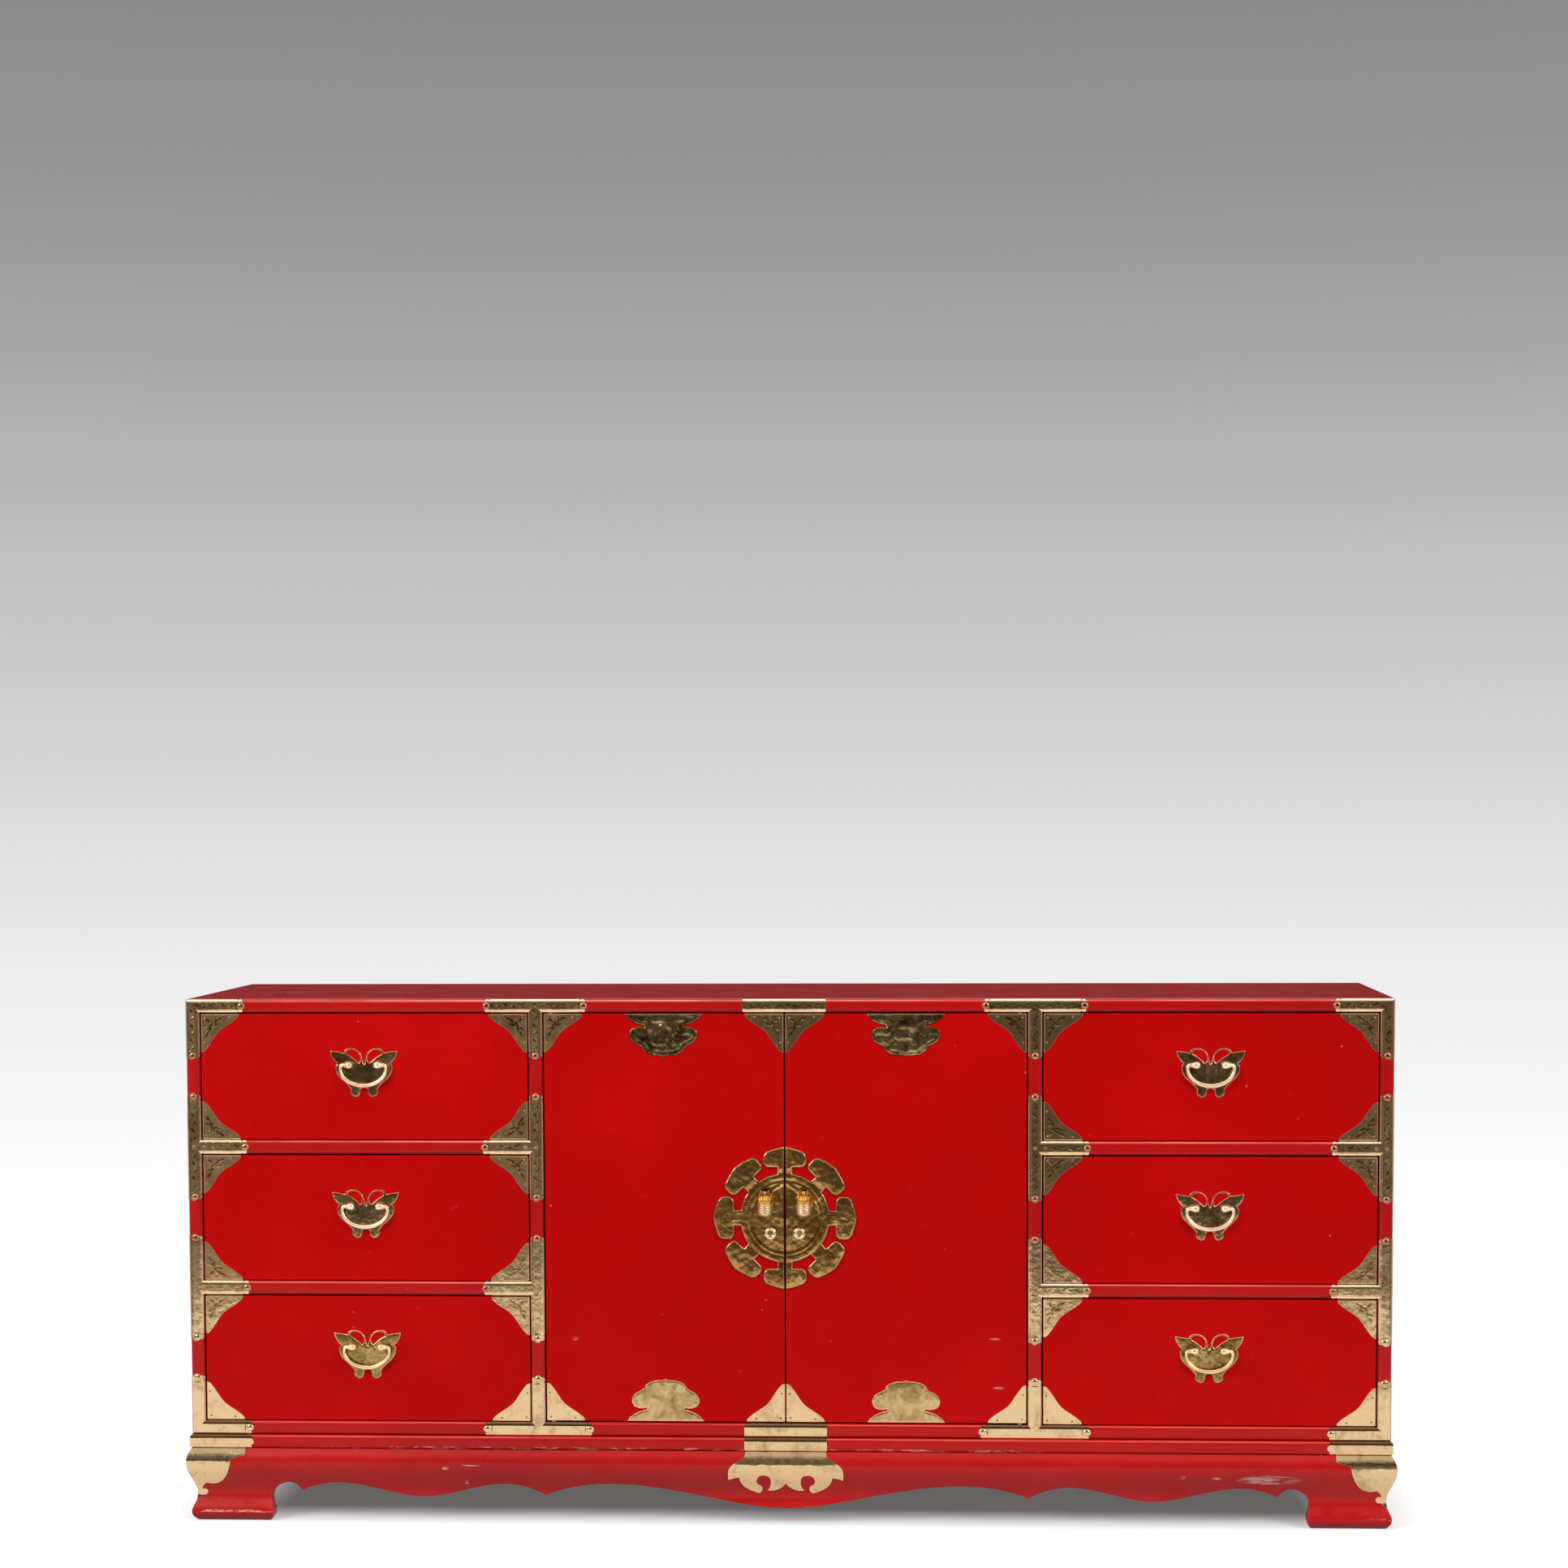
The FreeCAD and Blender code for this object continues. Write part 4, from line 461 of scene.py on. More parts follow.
PALE_WOOD, DARK_WOOD = rgb(196, 152, 102), rgb(146, 102, 60)
WOOD_DEEP = plain_wood("inner_wood_deep", PALE_WOOD, DARK_WOOD, "Y")
WOOD_WIDE = plain_wood("inner_wood_wide", PALE_WOOD, DARK_WOOD, "X")
WOOD_TALL = plain_wood("inner_wood_tall", PALE_WOOD, DARK_WOOD, "Z")
BACK = plain_wood("back_board", rgb(178, 134, 90), rgb(130, 92, 58), "X")
STEEL = small_metal("hinge_steel", rgb(176, 174, 170), 1.0, 0.36)
CATCH = small_metal("catch_body", rgb(74, 56, 44), 0.0, 0.5)
# A dark brown that paints the shade inside the eyelets
BORE_SHADE = small_metal("eyelet_bore_shade", rgb(70, 46, 24), 0.6, 0.5)


def paint(material, *parts):
    for part in parts:
        mesh = nodes[part].data
        mesh.materials.clear()
        mesh.materials.append(material)


def soften(part, width):
    """A small bevel on a node's sharp edges."""
    bevel = nodes[part].modifiers.new("soften", "BEVEL")
    bevel.width = width
    bevel.segments = 2
    bevel.limit_method = "ANGLE"
    bevel.angle_limit = math.radians(40)
    bevel.harden_normals = True


paint(RED_TOP, "top_panel")
paint(RED, "left_side_panel", "right_side_panel")
paint(RED_FRAME, "face_frame_stiles", "face_frame_rails")
paint(RED_MOULDING, "base_moulding")
paint(RED_APRON, "front_apron", "side_aprons")
paint(WOOD_TALL, "left_partition", "right_partition", "foot_blocks")
paint(WOOD_WIDE, "bottom_panel", "shelf", "rear_base_rail")
paint(WOOD_DEEP, "drawer_runners")
paint(BACK, "back_panel")
paint(CATCH, "door_catches")
paint(STEEL, "case_hinge_leaves")
paint(STRAP, "frame_straps")
paint(MOUNT, "base_mounts")
for drawer in DRAWERS:
    paint(RED, f"{drawer}_front")
    paint(WOOD_DEEP, f"{drawer}_box")
    paint(SHEET, f"{drawer}_corner_plates")
    paint(PALE, f"{drawer}_pull")
    paint(CAST, f"{drawer}_bail")
for door in DOORS:
    paint(RED_DOOR, f"{door}_panel")
    paint(SHEET, f"{door}_plates")
    paint(CAST, f"{door}_medallion", f"{door}_drop_pull")
    paint(STEEL, f"{door}_hinge_leaves")

STRAP_BEVEL, PLATE_BEVEL = 0.00030, 0.00035
for part in ("frame_straps", "base_mounts"):
    soften(part, STRAP_BEVEL)
for drawer in DRAWERS:
    soften(f"{drawer}_corner_plates", PLATE_BEVEL)
for door in DOORS:
    soften(f"{door}_plates", PLATE_BEVEL)


# Detail pieces, in millimetres until they become objects

# Depths of the fronts, of the brass on them, of the frame's bars and of the straps on those
FACE = -223.5
PLATE_FACE = FACE - 0.8
MEDALLION_FACE = FACE - 1.5
BAR_FACE = -227.5
STRAP_FACE = BAR_FACE - 0.85

# Drawer fronts: middle and half width, floor of each row, foot, head and pull posts above it
BANK_MIDDLE = 641.5
FRONT_HALF = 250.5
ROW_FLOOR = {"bottom": 156.0, "middle": 372.5, "top": 589.0}
FRONT_FOOT, FRONT_HEAD = 0.8, 193.0
POST_RISE = 115.5

# Doors: meeting edge and hinge edge from the middle, foot and head, and the centre of the medallion
DOOR_MEETING, DOOR_HINGE = 1.0, 366.0
DOOR_FOOT, DOOR_HEAD = 158.0, 782.0
MEDALLION_Z = 471.0

# Frame: middles of its bars
TOP_RAIL = 794
BOTTOM_RAIL = 145.25
RAIL_LEVELS = (361.75, 578.25)
STILES = (378.5, 904.5)

# Plates: rounding of the wood's edge, their length along it, and half a cloud plate
EDGE_ROUND = 1.5
PLATE_LEG = 57.0
CLOUD_HALF = 58.5

# No chasing, and only faint chasing, below these levels
PLAIN_BELOW = 300.0
FAINT_BELOW = 480.0

# Spacing of the points in the reliefs, and how far their backs reach into the plates under them
BUTTERFLY_GRID, CLOUD_GRID, MEDALLION_GRID = 1.6, 1.8, 2.0
RELIEF_BACK = 0.3


def add_piece(name, build, material, body, smooth=40.0):
    """Turns a bmesh in millimetres into a piece that rides on a body."""
    bmesh.ops.scale(build, vec=(0.001, 0.001, 0.001), verts=build.verts)
    bmesh.ops.recalc_face_normals(build, faces=build.faces)
    mesh = bpy.data.meshes.new(name)
    build.to_mesh(mesh)
    build.free()
    mesh.materials.append(material)
    mesh.shade_smooth()
    mesh.set_sharp_from_angle(angle=math.radians(smooth))
    item = bpy.data.objects.new(name, mesh)
    bpy.context.scene.collection.objects.link(item)
    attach(item, body)
    return item


def skin(build, rings):
    """Joins rings of points with quads and caps the two ends."""
    rows = [[build.verts.new(point) for point in ring] for ring in rings]
    count = len(rows[0])
    for one, two in zip(rows, rows[1:]):
        for step in range(count):
            after = (step + 1) % count
            build.faces.new((one[step], one[after], two[after], two[step]))
    build.faces.new(rows[0])
    build.faces.new(reversed(rows[-1]))


def tube(build, path, radii, count=14):
    """A round bar along a path that lies in a plane of constant depth."""
    depth = Vector((0, 1, 0))
    turns = [2 * math.pi * step / count for step in range(count)]
    rings = []
    for index, (point, radius) in enumerate(zip(path, radii)):
        before, after = path[max(index - 1, 0)], path[min(index + 1, len(path) - 1)]
        along = (Vector(after) - Vector(before)).normalized()
        across = along.cross(depth)
        rings.append([Vector(point) + radius * (math.cos(t) * across + math.sin(t) * depth) for t in turns])
    skin(build, rings)


def lathe(build, profile, centre, count, axis="Z", flutes=0, depth=0.0):
    """A turned form of radius, height and flute share; flutes pinch its rings by that share of their depth."""
    rings = []
    for radius, height, share in profile:
        ring = []
        for step in range(count):
            angle = 2 * math.pi * step / count
            pinch = 1 - depth * share * (0.5 - 0.5 * math.cos(flutes * angle))
            u, v = radius * pinch * math.cos(angle), radius * pinch * math.sin(angle)
            offset = Vector((u, v, height)) if axis == "Z" else Vector((u, -height, v))
            ring.append(Vector(centre) + offset)
        rings.append(ring)
    skin(build, rings)


def outline_loops(part, level):
    """Closed outlines, in x and z and from the lowest up, of a node's forward faces at one depth."""
    build = bmesh.new()
    build.from_mesh(nodes[part].data)
    bmesh.ops.remove_doubles(build, verts=build.verts, dist=1e-6)
    faces = [
        face
        for face in build.faces
        if face.normal.y < -0.98 and abs(face.calc_center_median().y * 1000 - level) < 0.05
    ]
    chosen = set(faces)
    follow = {}
    for face in faces:
        for loop in face.loops:
            if sum(other in chosen for other in loop.edge.link_faces) == 1:
                follow[loop.vert] = loop.link_loop_next.vert
    loops = []
    while follow:
        start, current = follow.popitem()
        chain = [start]
        while current is not start and current in follow:
            chain.append(current)
            current = follow.pop(current)
        loops.append([(vert.co.x * 1000, vert.co.z * 1000) for vert in chain])
    build.free()
    return sorted(loops, key=lambda outline: min(z for _, z in outline))


def measure(points, loops):
    """For each point, whether it is inside the loops and how far it is from them."""
    inside = np.zeros(len(points), bool)
    away = np.full(len(points), 1e9)
    for loop in loops:
        starts = np.array(loop)
        ends = np.roll(starts, -1, axis=0)
        for (x0, z0), (x1, z1) in zip(starts, ends):
            if z0 != z1:
                crosses = (points[:, 1] < z0) != (points[:, 1] < z1)
                inside ^= crosses & (points[:, 0] < (x1 - x0) * (points[:, 1] - z0) / (z1 - z0) + x0)
            run = np.array((x1 - x0, z1 - z0))
            length = run @ run
            if length:
                share = np.clip(((points - (x0, z0)) @ run) / length, 0, 1)
                gap = points - (x0, z0) - share[:, None] * run
                away = np.minimum(away, np.hypot(gap[:, 0], gap[:, 1]))
    return inside, away


def relief(name, loops, level, height, spacing, material, body):
    """A raised plate over a flat one: its outline and a grid inside it, lifted by a height function."""
    corners = np.concatenate([np.array(loop) for loop in loops])
    edges = []
    first = 0
    for loop in loops:
        edges += [(first + step, first + (step + 1) % len(loop)) for step in range(len(loop))]
        first += len(loop)
    low, high = corners.min(0), corners.max(0)
    rows = np.arange(low[1], high[1], spacing * 0.866)
    grid = np.array(
        [
            (x, z)
            for row, z in enumerate(rows)
            for x in np.arange(low[0] + (row % 2) * spacing / 2, high[0], spacing)
        ]
    )
    inside, away = measure(grid, loops)
    grid = grid[inside & (away > spacing * 0.35)]
    flat = [Vector(point) for point in np.concatenate([corners, grid])]
    points, _, faces, *_ = delaunay_2d_cdt(flat, edges, [], 0, 1e-6)
    points = np.array([tuple(point) for point in points])
    faces = np.array(faces)
    keep, _ = measure(points[faces].mean(1), loops)
    _, away = measure(points, loops)
    lift = height(points[:, 0], points[:, 1], away)
    build = bmesh.new()
    upper = [build.verts.new((x, level - h, z)) for (x, z), h in zip(points, lift)]
    lower = [build.verts.new((x, level + RELIEF_BACK, z)) for x, z in points]
    sides = {}
    for one, two, three in faces[keep]:
        build.faces.new((upper[one], upper[two], upper[three]))
        build.faces.new((lower[three], lower[two], lower[one]))
        for pair in ((one, two), (two, three), (three, one)):
            if sides.pop(pair[::-1], None) is None:
                sides[pair] = True
    for one, two in sides:
        build.faces.new((upper[two], upper[one], lower[one], lower[two]))
    loose = [vert for vert in build.verts if not vert.link_faces]
    bmesh.ops.delete(build, geom=loose, context="VERTS")
    add_piece(name, build, material, body, smooth=60.0)


def rounded(away, reach):
    """A quarter-round rise from the outline inwards, from 0 to 1."""
    return np.sqrt(1 - (1 - np.clip(away / reach, 0, 1)) ** 2)


def uneven(x, z, size):
    """Smooth bumps of about one size, from -1 to 1."""
    return np.array([noise.noise((u / size, 3.7, v / size)) for u, v in zip(x, z)])


def medallion_height(x, z, away):
    """Lobes like pillows round a double ring, and inside it a shallow dome with a boss and a crown."""
    radius = np.hypot(x, z - MEDALLION_Z)
    lobe = np.clip((radius - 68) / 8, 0, 1)
    ring = 0.6 * np.exp(-(((radius - 54.6) / 1.6) ** 2)) + 0.6 * np.exp(-(((radius - 62) / 4.5) ** 2))
    dome = 0.9 * np.clip(1 - (radius / 52) ** 2, 0, 1)
    boss = 1.5 * np.exp(-((x / 5) ** 2) - ((z - MEDALLION_Z) / 7) ** 2)
    ridge = 40.0 + 12.0 * np.cos(np.abs(x) / 14.0)
    crown = 1.0 * np.exp(-(((z - MEDALLION_Z - ridge) / 3.0) ** 2)) * np.clip(1 - np.abs(x) / 34, 0, 1)
    bead = 0.35 * np.exp(-(((away - 2.6) / 1.1) ** 2))
    pillow = 1.3 * rounded(away, 9.0) * lobe
    flat = 0.25 + 0.6 * rounded(away, 1.4) + 0.22 * uneven(x, z, 7.0)
    return flat + ring + dome + boss + crown + pillow + bead


def cloud_height(x, z, away):
    """Lumps with a line that follows the outline."""
    line = 0.30 * np.cos(away / 9.0 * 2 * math.pi) * np.clip(away / 4, 0, 1)
    lump = 1.7 * uneven(x, z, 13.0) + 0.45 * uneven(x, z, 6.0)
    return 0.4 + 0.35 * rounded(away, 1.2) + 0.9 * rounded(away, 14.0) + np.clip(away / 5, 0, 1) * (line + lump)


def plain_cloud_height(x, z, away):
    """A low pillow."""
    return 0.1 + 0.3 * rounded(away, 1.2) + 0.5 * rounded(away, 18.0) + 0.12 * uneven(x, z, 9.0)


def butterfly_height(middle, post_z):
    """Veined wings beside a raised body."""

    def height(x, z, away):
        u, v = x - middle, z - post_z
        bearing = np.arctan2(v + 12, np.abs(u))
        vein = 0.06 * np.cos(bearing * 13) * np.clip(np.hypot(u, v + 12) / 16 - 0.4, 0, 1)
        body = 0.9 * np.exp(-((u / 5.0) ** 2)) * np.clip(away / 3, 0, 1)
        return 0.1 + 0.5 * rounded(away, 1.0) + 0.3 * rounded(away, 7.0) + body + vein + 0.1 * uneven(x, z, 6.0)

    return height


# Half section of a nail, and its places on a corner plate in from the two edges
NAIL_PROFILE = ((1.7, -0.2), (1.7, 0.15), (1.45, 0.5), (0.9, 0.8), (0.3, 0.92))
NAIL_PLACES = ((6.5, 6.5), (44.0, 5.0), (5.0, 44.0))


def nails(name, places, level, body, size=1.0, metal=CAST):
    """Domed nails standing on a brass face."""
    build = bmesh.new()
    profile = [(radius * size, height * (0.5 + size / 2), 0) for radius, height in NAIL_PROFILE]
    for x, z in places:
        lathe(build, profile, (x, level, z), count=18, axis="Y")
    add_piece(name, build, metal, body)


def corner_nails(x_low, x_high, z_low, z_high):
    places = []
    for x, inward in ((x_low, 1), (x_high, -1)):
        for z, upward in ((z_low, 1), (z_high, -1)):
            places += [(x + inward * u, z + upward * v) for u, v in NAIL_PLACES]
    return places


# Leaves: points round the outline, and the height of faint ones as a share of the others'
LEAF_POINTS = 14
FAINT_RISE = 0.4


def leaf(build, x, z, turn, length, width, level):
    """A low pointed leaf on a brass face, with a ridge along its middle, flatter where chasing is faint."""
    steps = [2 * math.pi * step / LEAF_POINTS for step in range(LEAF_POINTS)]
    flat = [(length / 2 * math.cos(t), width / 2 * math.sin(t) * (1 - 0.55 * math.cos(t) ** 2)) for t in steps]
    rise = FAINT_RISE if z < FAINT_BELOW else 1.0
    rings = []
    for share, lift in ((1.0, -0.25), (1.0, 0.12 * rise), (0.45, 0.45 * rise)):
        rings.append(
            [
                (
                    x + share * (u * math.cos(turn) - v * math.sin(turn)),
                    level - lift,
                    z + share * (u * math.sin(turn) + v * math.cos(turn)),
                )
                for u, v in flat
            ]
        )
    skin(build, rings)


# Leaves chased on a corner plate: distances in from its two edges, heading in degrees and length
CHASED_LEAVES = (
    (28, 8, 150, 12),
    (23, 11, 100, 10),
    (22, 17, 165, 12),
    (16, 16, 125, 12),
    (14, 23, 100, 11),
    (9, 23, 150, 10),
    (9, 31, 120, 11),
    (11, 10, 45, 11),
)
LEAF_SLIMNESS = 0.42


def corner_chasing(body, x_low, x_high, z_low, z_high):
    """A spray of leaves on each corner plate: dark on the upper ones, faint lower down, none on the lowest."""
    for z, upward in ((z_low, 1), (z_high, -1)):
        if z < PLAIN_BELOW:
            continue
        build = bmesh.new()
        for x, inward in ((x_low, 1), (x_high, -1)):
            for u, v, heading, length in CHASED_LEAVES:
                turn = math.radians(heading)
                turn = math.atan2(upward * math.sin(turn), inward * math.cos(turn))
                width = length * LEAF_SLIMNESS
                leaf(build, x + inward * u, z + upward * v, turn, length, width, PLATE_FACE)
        end = "foot" if upward > 0 else "head"
        metal = FAINT if z < FAINT_BELOW else DARK
        add_piece(f"{body}_{end}_chasing", build, metal, body, smooth=30.0)


# Lips: radii forwards and sideways of their outside and of their inside, and steps round the edge
LIP_OUTSIDE, LIP_INSIDE = (2.2, 1.85), (1.2, 1.2)
LIP_STEPS = 6


def lip(build, start, end, outward):
    """A strip of sheet that follows a rounded front edge, which faces outward in x or z."""
    there, back = range(LIP_STEPS + 1), range(LIP_STEPS, -1, -1)
    rings = []
    for x, z in (start, end):
        ring = []
        for (forward, sideways), steps in ((LIP_OUTSIDE, there), (LIP_INSIDE, back)):
            for step in steps:
                turn = math.pi / 2 * step / LIP_STEPS
                out = EDGE_ROUND - sideways * math.sin(turn)
                depth = FACE + EDGE_ROUND - forward * math.cos(turn)
                ring.append((x - outward[0] * out, depth, z - outward[1] * out))
        rings.append(ring)
    skin(build, rings)


def plate_lips(body, x_low, x_high, z_low, z_high, clouds=()):
    """Lips along both edges of each corner plate, and along the straight edge of each cloud plate."""
    build = bmesh.new()
    leg = EDGE_ROUND + PLATE_LEG
    for x, inward in ((x_low, 1), (x_high, -1)):
        for z, upward in ((z_low, 1), (z_high, -1)):
            lip(build, (x + inward * EDGE_ROUND, z), (x + inward * leg, z), (0, -upward))
            lip(build, (x, z + upward * EDGE_ROUND), (x, z + upward * leg), (-inward, 0))
    for x in clouds:
        lip(build, (x - CLOUD_HALF, z_low), (x + CLOUD_HALF, z_low), (0, -1))
        lip(build, (x - CLOUD_HALF, z_high), (x + CLOUD_HALF, z_high), (0, 1))
    add_piece(f"{body}_plate_lips", build, SHEET, body, smooth=50.0)


# Bail: half width, depth and shoulder fall of the hoop, its axis in front of the plate, its steps and its radii
HOOP_HALF, HOOP_DEPTH, HOOP_FALL, HOOP_OFFSET = 35.4, 26.4, 5.0, 8.0
HOOP_STEPS = 44
HOOP_THIN, HOOP_SWELL = 2.55, 0.8
# One end of a bail: distance from the pull's middle, fall below the posts and radius
BAIL_END = (
    (15.6, 0.0, 1.4),
    (16.2, 0.0, 3.2),
    (17.6, 0.0, 4.7),
    (19.8, 0.0, 5.6),
    (22.4, 0.0, 5.7),
    (24.8, 0.0, 5.2),
    (26.6, 0.0, 4.6),
    (27.4, 0.0, 1.8),
    (29.0, 0.0, 1.8),
    (29.3, 0.0, 3.3),
    (31.6, 0.0, 3.1),
    (33.5, 0.6, 2.9),
    (34.7, 1.9, 2.7),
)


def bail(drawer, middle, post_z, metal):
    """A crescent hoop, heavier at its foot, with knobs on its ends, which turn in past the posts."""
    axis_y = PLATE_FACE - HOOP_OFFSET
    path = [(middle + x, axis_y, post_z - fall) for x, fall, _ in BAIL_END]
    radii = [thick for _, _, thick in BAIL_END]
    far_end = [(2 * middle - x, y, z) for x, y, z in reversed(path)]
    far_radii = list(reversed(radii))
    for step in range(2, HOOP_STEPS - 1):
        turn = math.pi * step / HOOP_STEPS
        fall = HOOP_FALL + HOOP_DEPTH * math.sin(turn) - HOOP_FALL * (1 - math.sin(turn)) ** 4
        path.append((middle + HOOP_HALF * math.cos(turn), axis_y, post_z - fall))
        radii.append(HOOP_THIN + HOOP_SWELL * math.sin(turn) ** 1.5)
    build = bmesh.new()
    tube(build, path + far_end, radii + far_radii)
    item = add_piece(f"{drawer}_bail_hoop", build, metal, f"{drawer}_handle", smooth=80.0)
    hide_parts(f"{drawer}_bail")


# Drop pull: its place from the medallion's centre, and the half sections of its two parts with their flute share
DROP_X, DROP_FORWARD, DROP_RISE = 29.5, 14.5, 40.0
CAP_PROFILE = (
    (1.2, 3.0, 0),
    (2.7, 2.6, 0),
    (3.2, 1.4, 0),
    (3.2, -1.8, 0),
    (5.2, -2.6, 0),
    (8.6, -4.4, 0.5),
    (11.2, -7.0, 1),
    (12.3, -10.2, 1),
    (12.2, -13.0, 1),
    (11.4, -15.2, 0.6),
    (9.6, -16.0, 0),
)
SHELL_PROFILE = (
    (8.6, -15.4, 0),
    (11.0, -15.6, 0),
    (11.9, -16.8, 0),
    (11.8, -18.4, 0),
    (11.0, -19.2, 0),
    (11.8, -20.0, 0),
    (11.9, -22.6, 0),
    (11.2, -23.4, 0),
    (11.8, -24.2, 0),
    (11.7, -27.0, 0),
    (11.0, -27.8, 0),
    (11.3, -28.6, 0),
    (10.8, -30.6, 0),
    (9.8, -32.8, 0),
    (8.2, -34.6, 0),
    (6.0, -35.6, 0),
    (3.2, -36.1, 0),
    (1.0, -36.2, 0),
)


def drop(door, side):
    """A fluted cap hung from a collar, over a ringed shell with a rounded foot."""
    centre = (side * DROP_X, MEDALLION_FACE - DROP_FORWARD, MEDALLION_Z + DROP_RISE)
    build = bmesh.new()
    lathe(build, CAP_PROFILE, centre, count=80, flutes=8, depth=0.14)
    cap = add_piece(f"{door}_drop_cap", build, OCHRE, f"{door}_drop", smooth=50.0)
    build = bmesh.new()
    lathe(build, SHELL_PROFILE, centre, count=48)
    shell = add_piece(f"{door}_drop_lip", build, SHELL, f"{door}_drop", smooth=50.0)
    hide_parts(f"{door}_drop_pull")
    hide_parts(f"{door}_drop_pull")


# Eyelet: its place from the medallion's centre, radii of its ring and wire, heights of its foot and of the wire's
# middle, and the half section of its bore, a dark piece painted as the shade in the hole
EYELET_X, EYELET_FALL = 22.0, 23.0
EYELET_RING, EYELET_WIRE = 6.6, 2.7
EYELET_FOOT, EYELET_LIFT = 0.2, 1.25
EYELET_STEPS = 12
BORE_PROFILE = ((4.6, -0.4, 0), (4.6, 1.7, 0), (3.6, 1.5, 0), (2.4, 0.7, 0), (0.5, 0.5, 0))


def eyelet(door, side):
    """A bright ring round a dark hole, whose shade is painted on a dark piece in the bore."""
    centre = (side * EYELET_X, MEDALLION_FACE, MEDALLION_Z - EYELET_FALL)
    profile = [(EYELET_RING + EYELET_WIRE, EYELET_FOOT, 0)]
    for step in range(EYELET_STEPS + 1):
        turn = math.pi * step / EYELET_STEPS
        out, up = EYELET_WIRE * math.cos(turn), EYELET_WIRE * math.sin(turn)
        profile.append((EYELET_RING + out, EYELET_LIFT + up, 0))
    profile.append((EYELET_RING - EYELET_WIRE, EYELET_FOOT, 0))
    build = bmesh.new()
    lathe(build, profile, centre, count=40, axis="Y")
    add_piece(f"{door}_eyelet", build, RIM, door, smooth=60.0)
    # The dark bore piece is painted shade inside the ring.
    build = bmesh.new()
    lathe(build, BORE_PROFILE, centre, count=24, axis="Y")
    add_piece(f"{door}_eyelet_bore_shade", build, BORE_SHADE, door)


def dress_drawer(drawer, row, middle):
    """The pull, nails, chasing and lips on one drawer front."""
    lowest = row == "bottom"
    post_z = ROW_FLOOR[row] + POST_RISE
    loops = outline_loops(f"{drawer}_pull", PLATE_FACE)
    shape = butterfly_height(middle, post_z)
    metal = LOW_WING if lowest else WING
    relief(f"{drawer}_butterfly", loops, PLATE_FACE, shape, BUTTERFLY_GRID, metal, drawer)
    bail(drawer, middle, post_z, LOW_HOOP if lowest else PALE)
    foot, head = ROW_FLOOR[row] + FRONT_FOOT, ROW_FLOOR[row] + FRONT_HEAD
    ends = (middle - FRONT_HALF, middle + FRONT_HALF, foot, head)
    nails(f"{drawer}_corner_nails", corner_nails(*ends), PLATE_FACE, drawer)
    corner_chasing(drawer, *ends)
    plate_lips(drawer, *ends)


def dress_door(door, side):
    """The medallion, pull, nails, chasing, lips and clouds on one door."""
    loops = outline_loops(f"{door}_medallion", MEDALLION_FACE)
    relief(
        f"{door}_medallion_relief",
        loops,
        MEDALLION_FACE,
        medallion_height,
        MEDALLION_GRID,
        CAST,
        door,
    )
    drop(door, side)
    eyelet(door, side)
    low, high = sorted((side * DOOR_MEETING, side * DOOR_HINGE))
    middle = (low + high) / 2
    ends = (low, high, DOOR_FOOT, DOOR_HEAD)
    nails(f"{door}_corner_nails", corner_nails(*ends), PLATE_FACE, door)
    corner_chasing(door, *ends)
    plate_lips(door, *ends, clouds=[middle])
    for loop in outline_loops(f"{door}_plates", PLATE_FACE):
        x, z = np.array(loop).mean(0)
        if abs(x - middle) < CLOUD_HALF:
            if z > MEDALLION_Z:
                place, shape, metal = "upper", cloud_height, MOTTLED
            else:
                place, shape, metal = "lower", plain_cloud_height, OLIVE
            relief(f"{door}_{place}_cloud", [loop], PLATE_FACE, shape, CLOUD_GRID, metal, door)


for side_name, side in SIDES.items():
    for row in ROWS:
        dress_drawer(f"{side_name}_{row}_drawer", row, side * BANK_MIDDLE)
    dress_door(f"{side_name}_door", side)


# Straps: where each shaped end lies, with the way back along its strap, and how far stile straps reach past a rail
TOP_ENDS = ((823, 1), (298.5, 1), (458.5, -1))
BOTTOM_ENDS = ((819, 1), (293.5, 1), (463.5, -1))
RAIL_ENDS = ((463, -1), (820, 1))
STILE_ENDS = ((712, 1), (228.5, -1))
STILE_REACH = 83
# Nails on the straps: where rail straps meet stiles, insets of bud and groove from a shaped end, and their sizes
MEETINGS = (394, 889) + STILES
BUD_INSET, GROOVE_INSET = 6, 13
GROOVE_LENGTH, GROOVE_WIDTH = 12.0, 1.6
BUD_SIZE, MEETING_SIZE = 3.1, 1.7
# Chased runs on the top rail, on the stiles and on the rails, and the leaves along them
MIDDLE_RUN = 56
TOP_RUNS = ((830, 902), (306, 451))
STILE_TOP_RUN = (724, 792)
STILE_RUN = (8, 66)
RAIL_RUNS = ((402, 450), (833, 881))
LEAF_PITCH, LEAF_SWING, LEAF_TILT = 11, 1.3, 0.5
LEAF_LENGTH, LEAF_WIDTH = 9.5, 4.0


def strap_ends():
    """Each shaped strap end, and the way back along its strap, in x and z."""
    ends = []
    for side in SIDES.values():
        ends += [(side * x, TOP_RAIL, side * back, 0) for x, back in TOP_ENDS]
        ends += [(side * x, BOTTOM_RAIL, side * back, 0) for x, back in BOTTOM_ENDS]
        for z in RAIL_LEVELS:
            ends += [(side * x, z, side * back, 0) for x, back in RAIL_ENDS]
        for x in STILES:
            ends += [(side * x, z, 0, back) for z, back in STILE_ENDS]
            for z in RAIL_LEVELS:
                ends += [(side * x, z - STILE_REACH, 0, 1), (side * x, z + STILE_REACH, 0, -1)]
    return ends


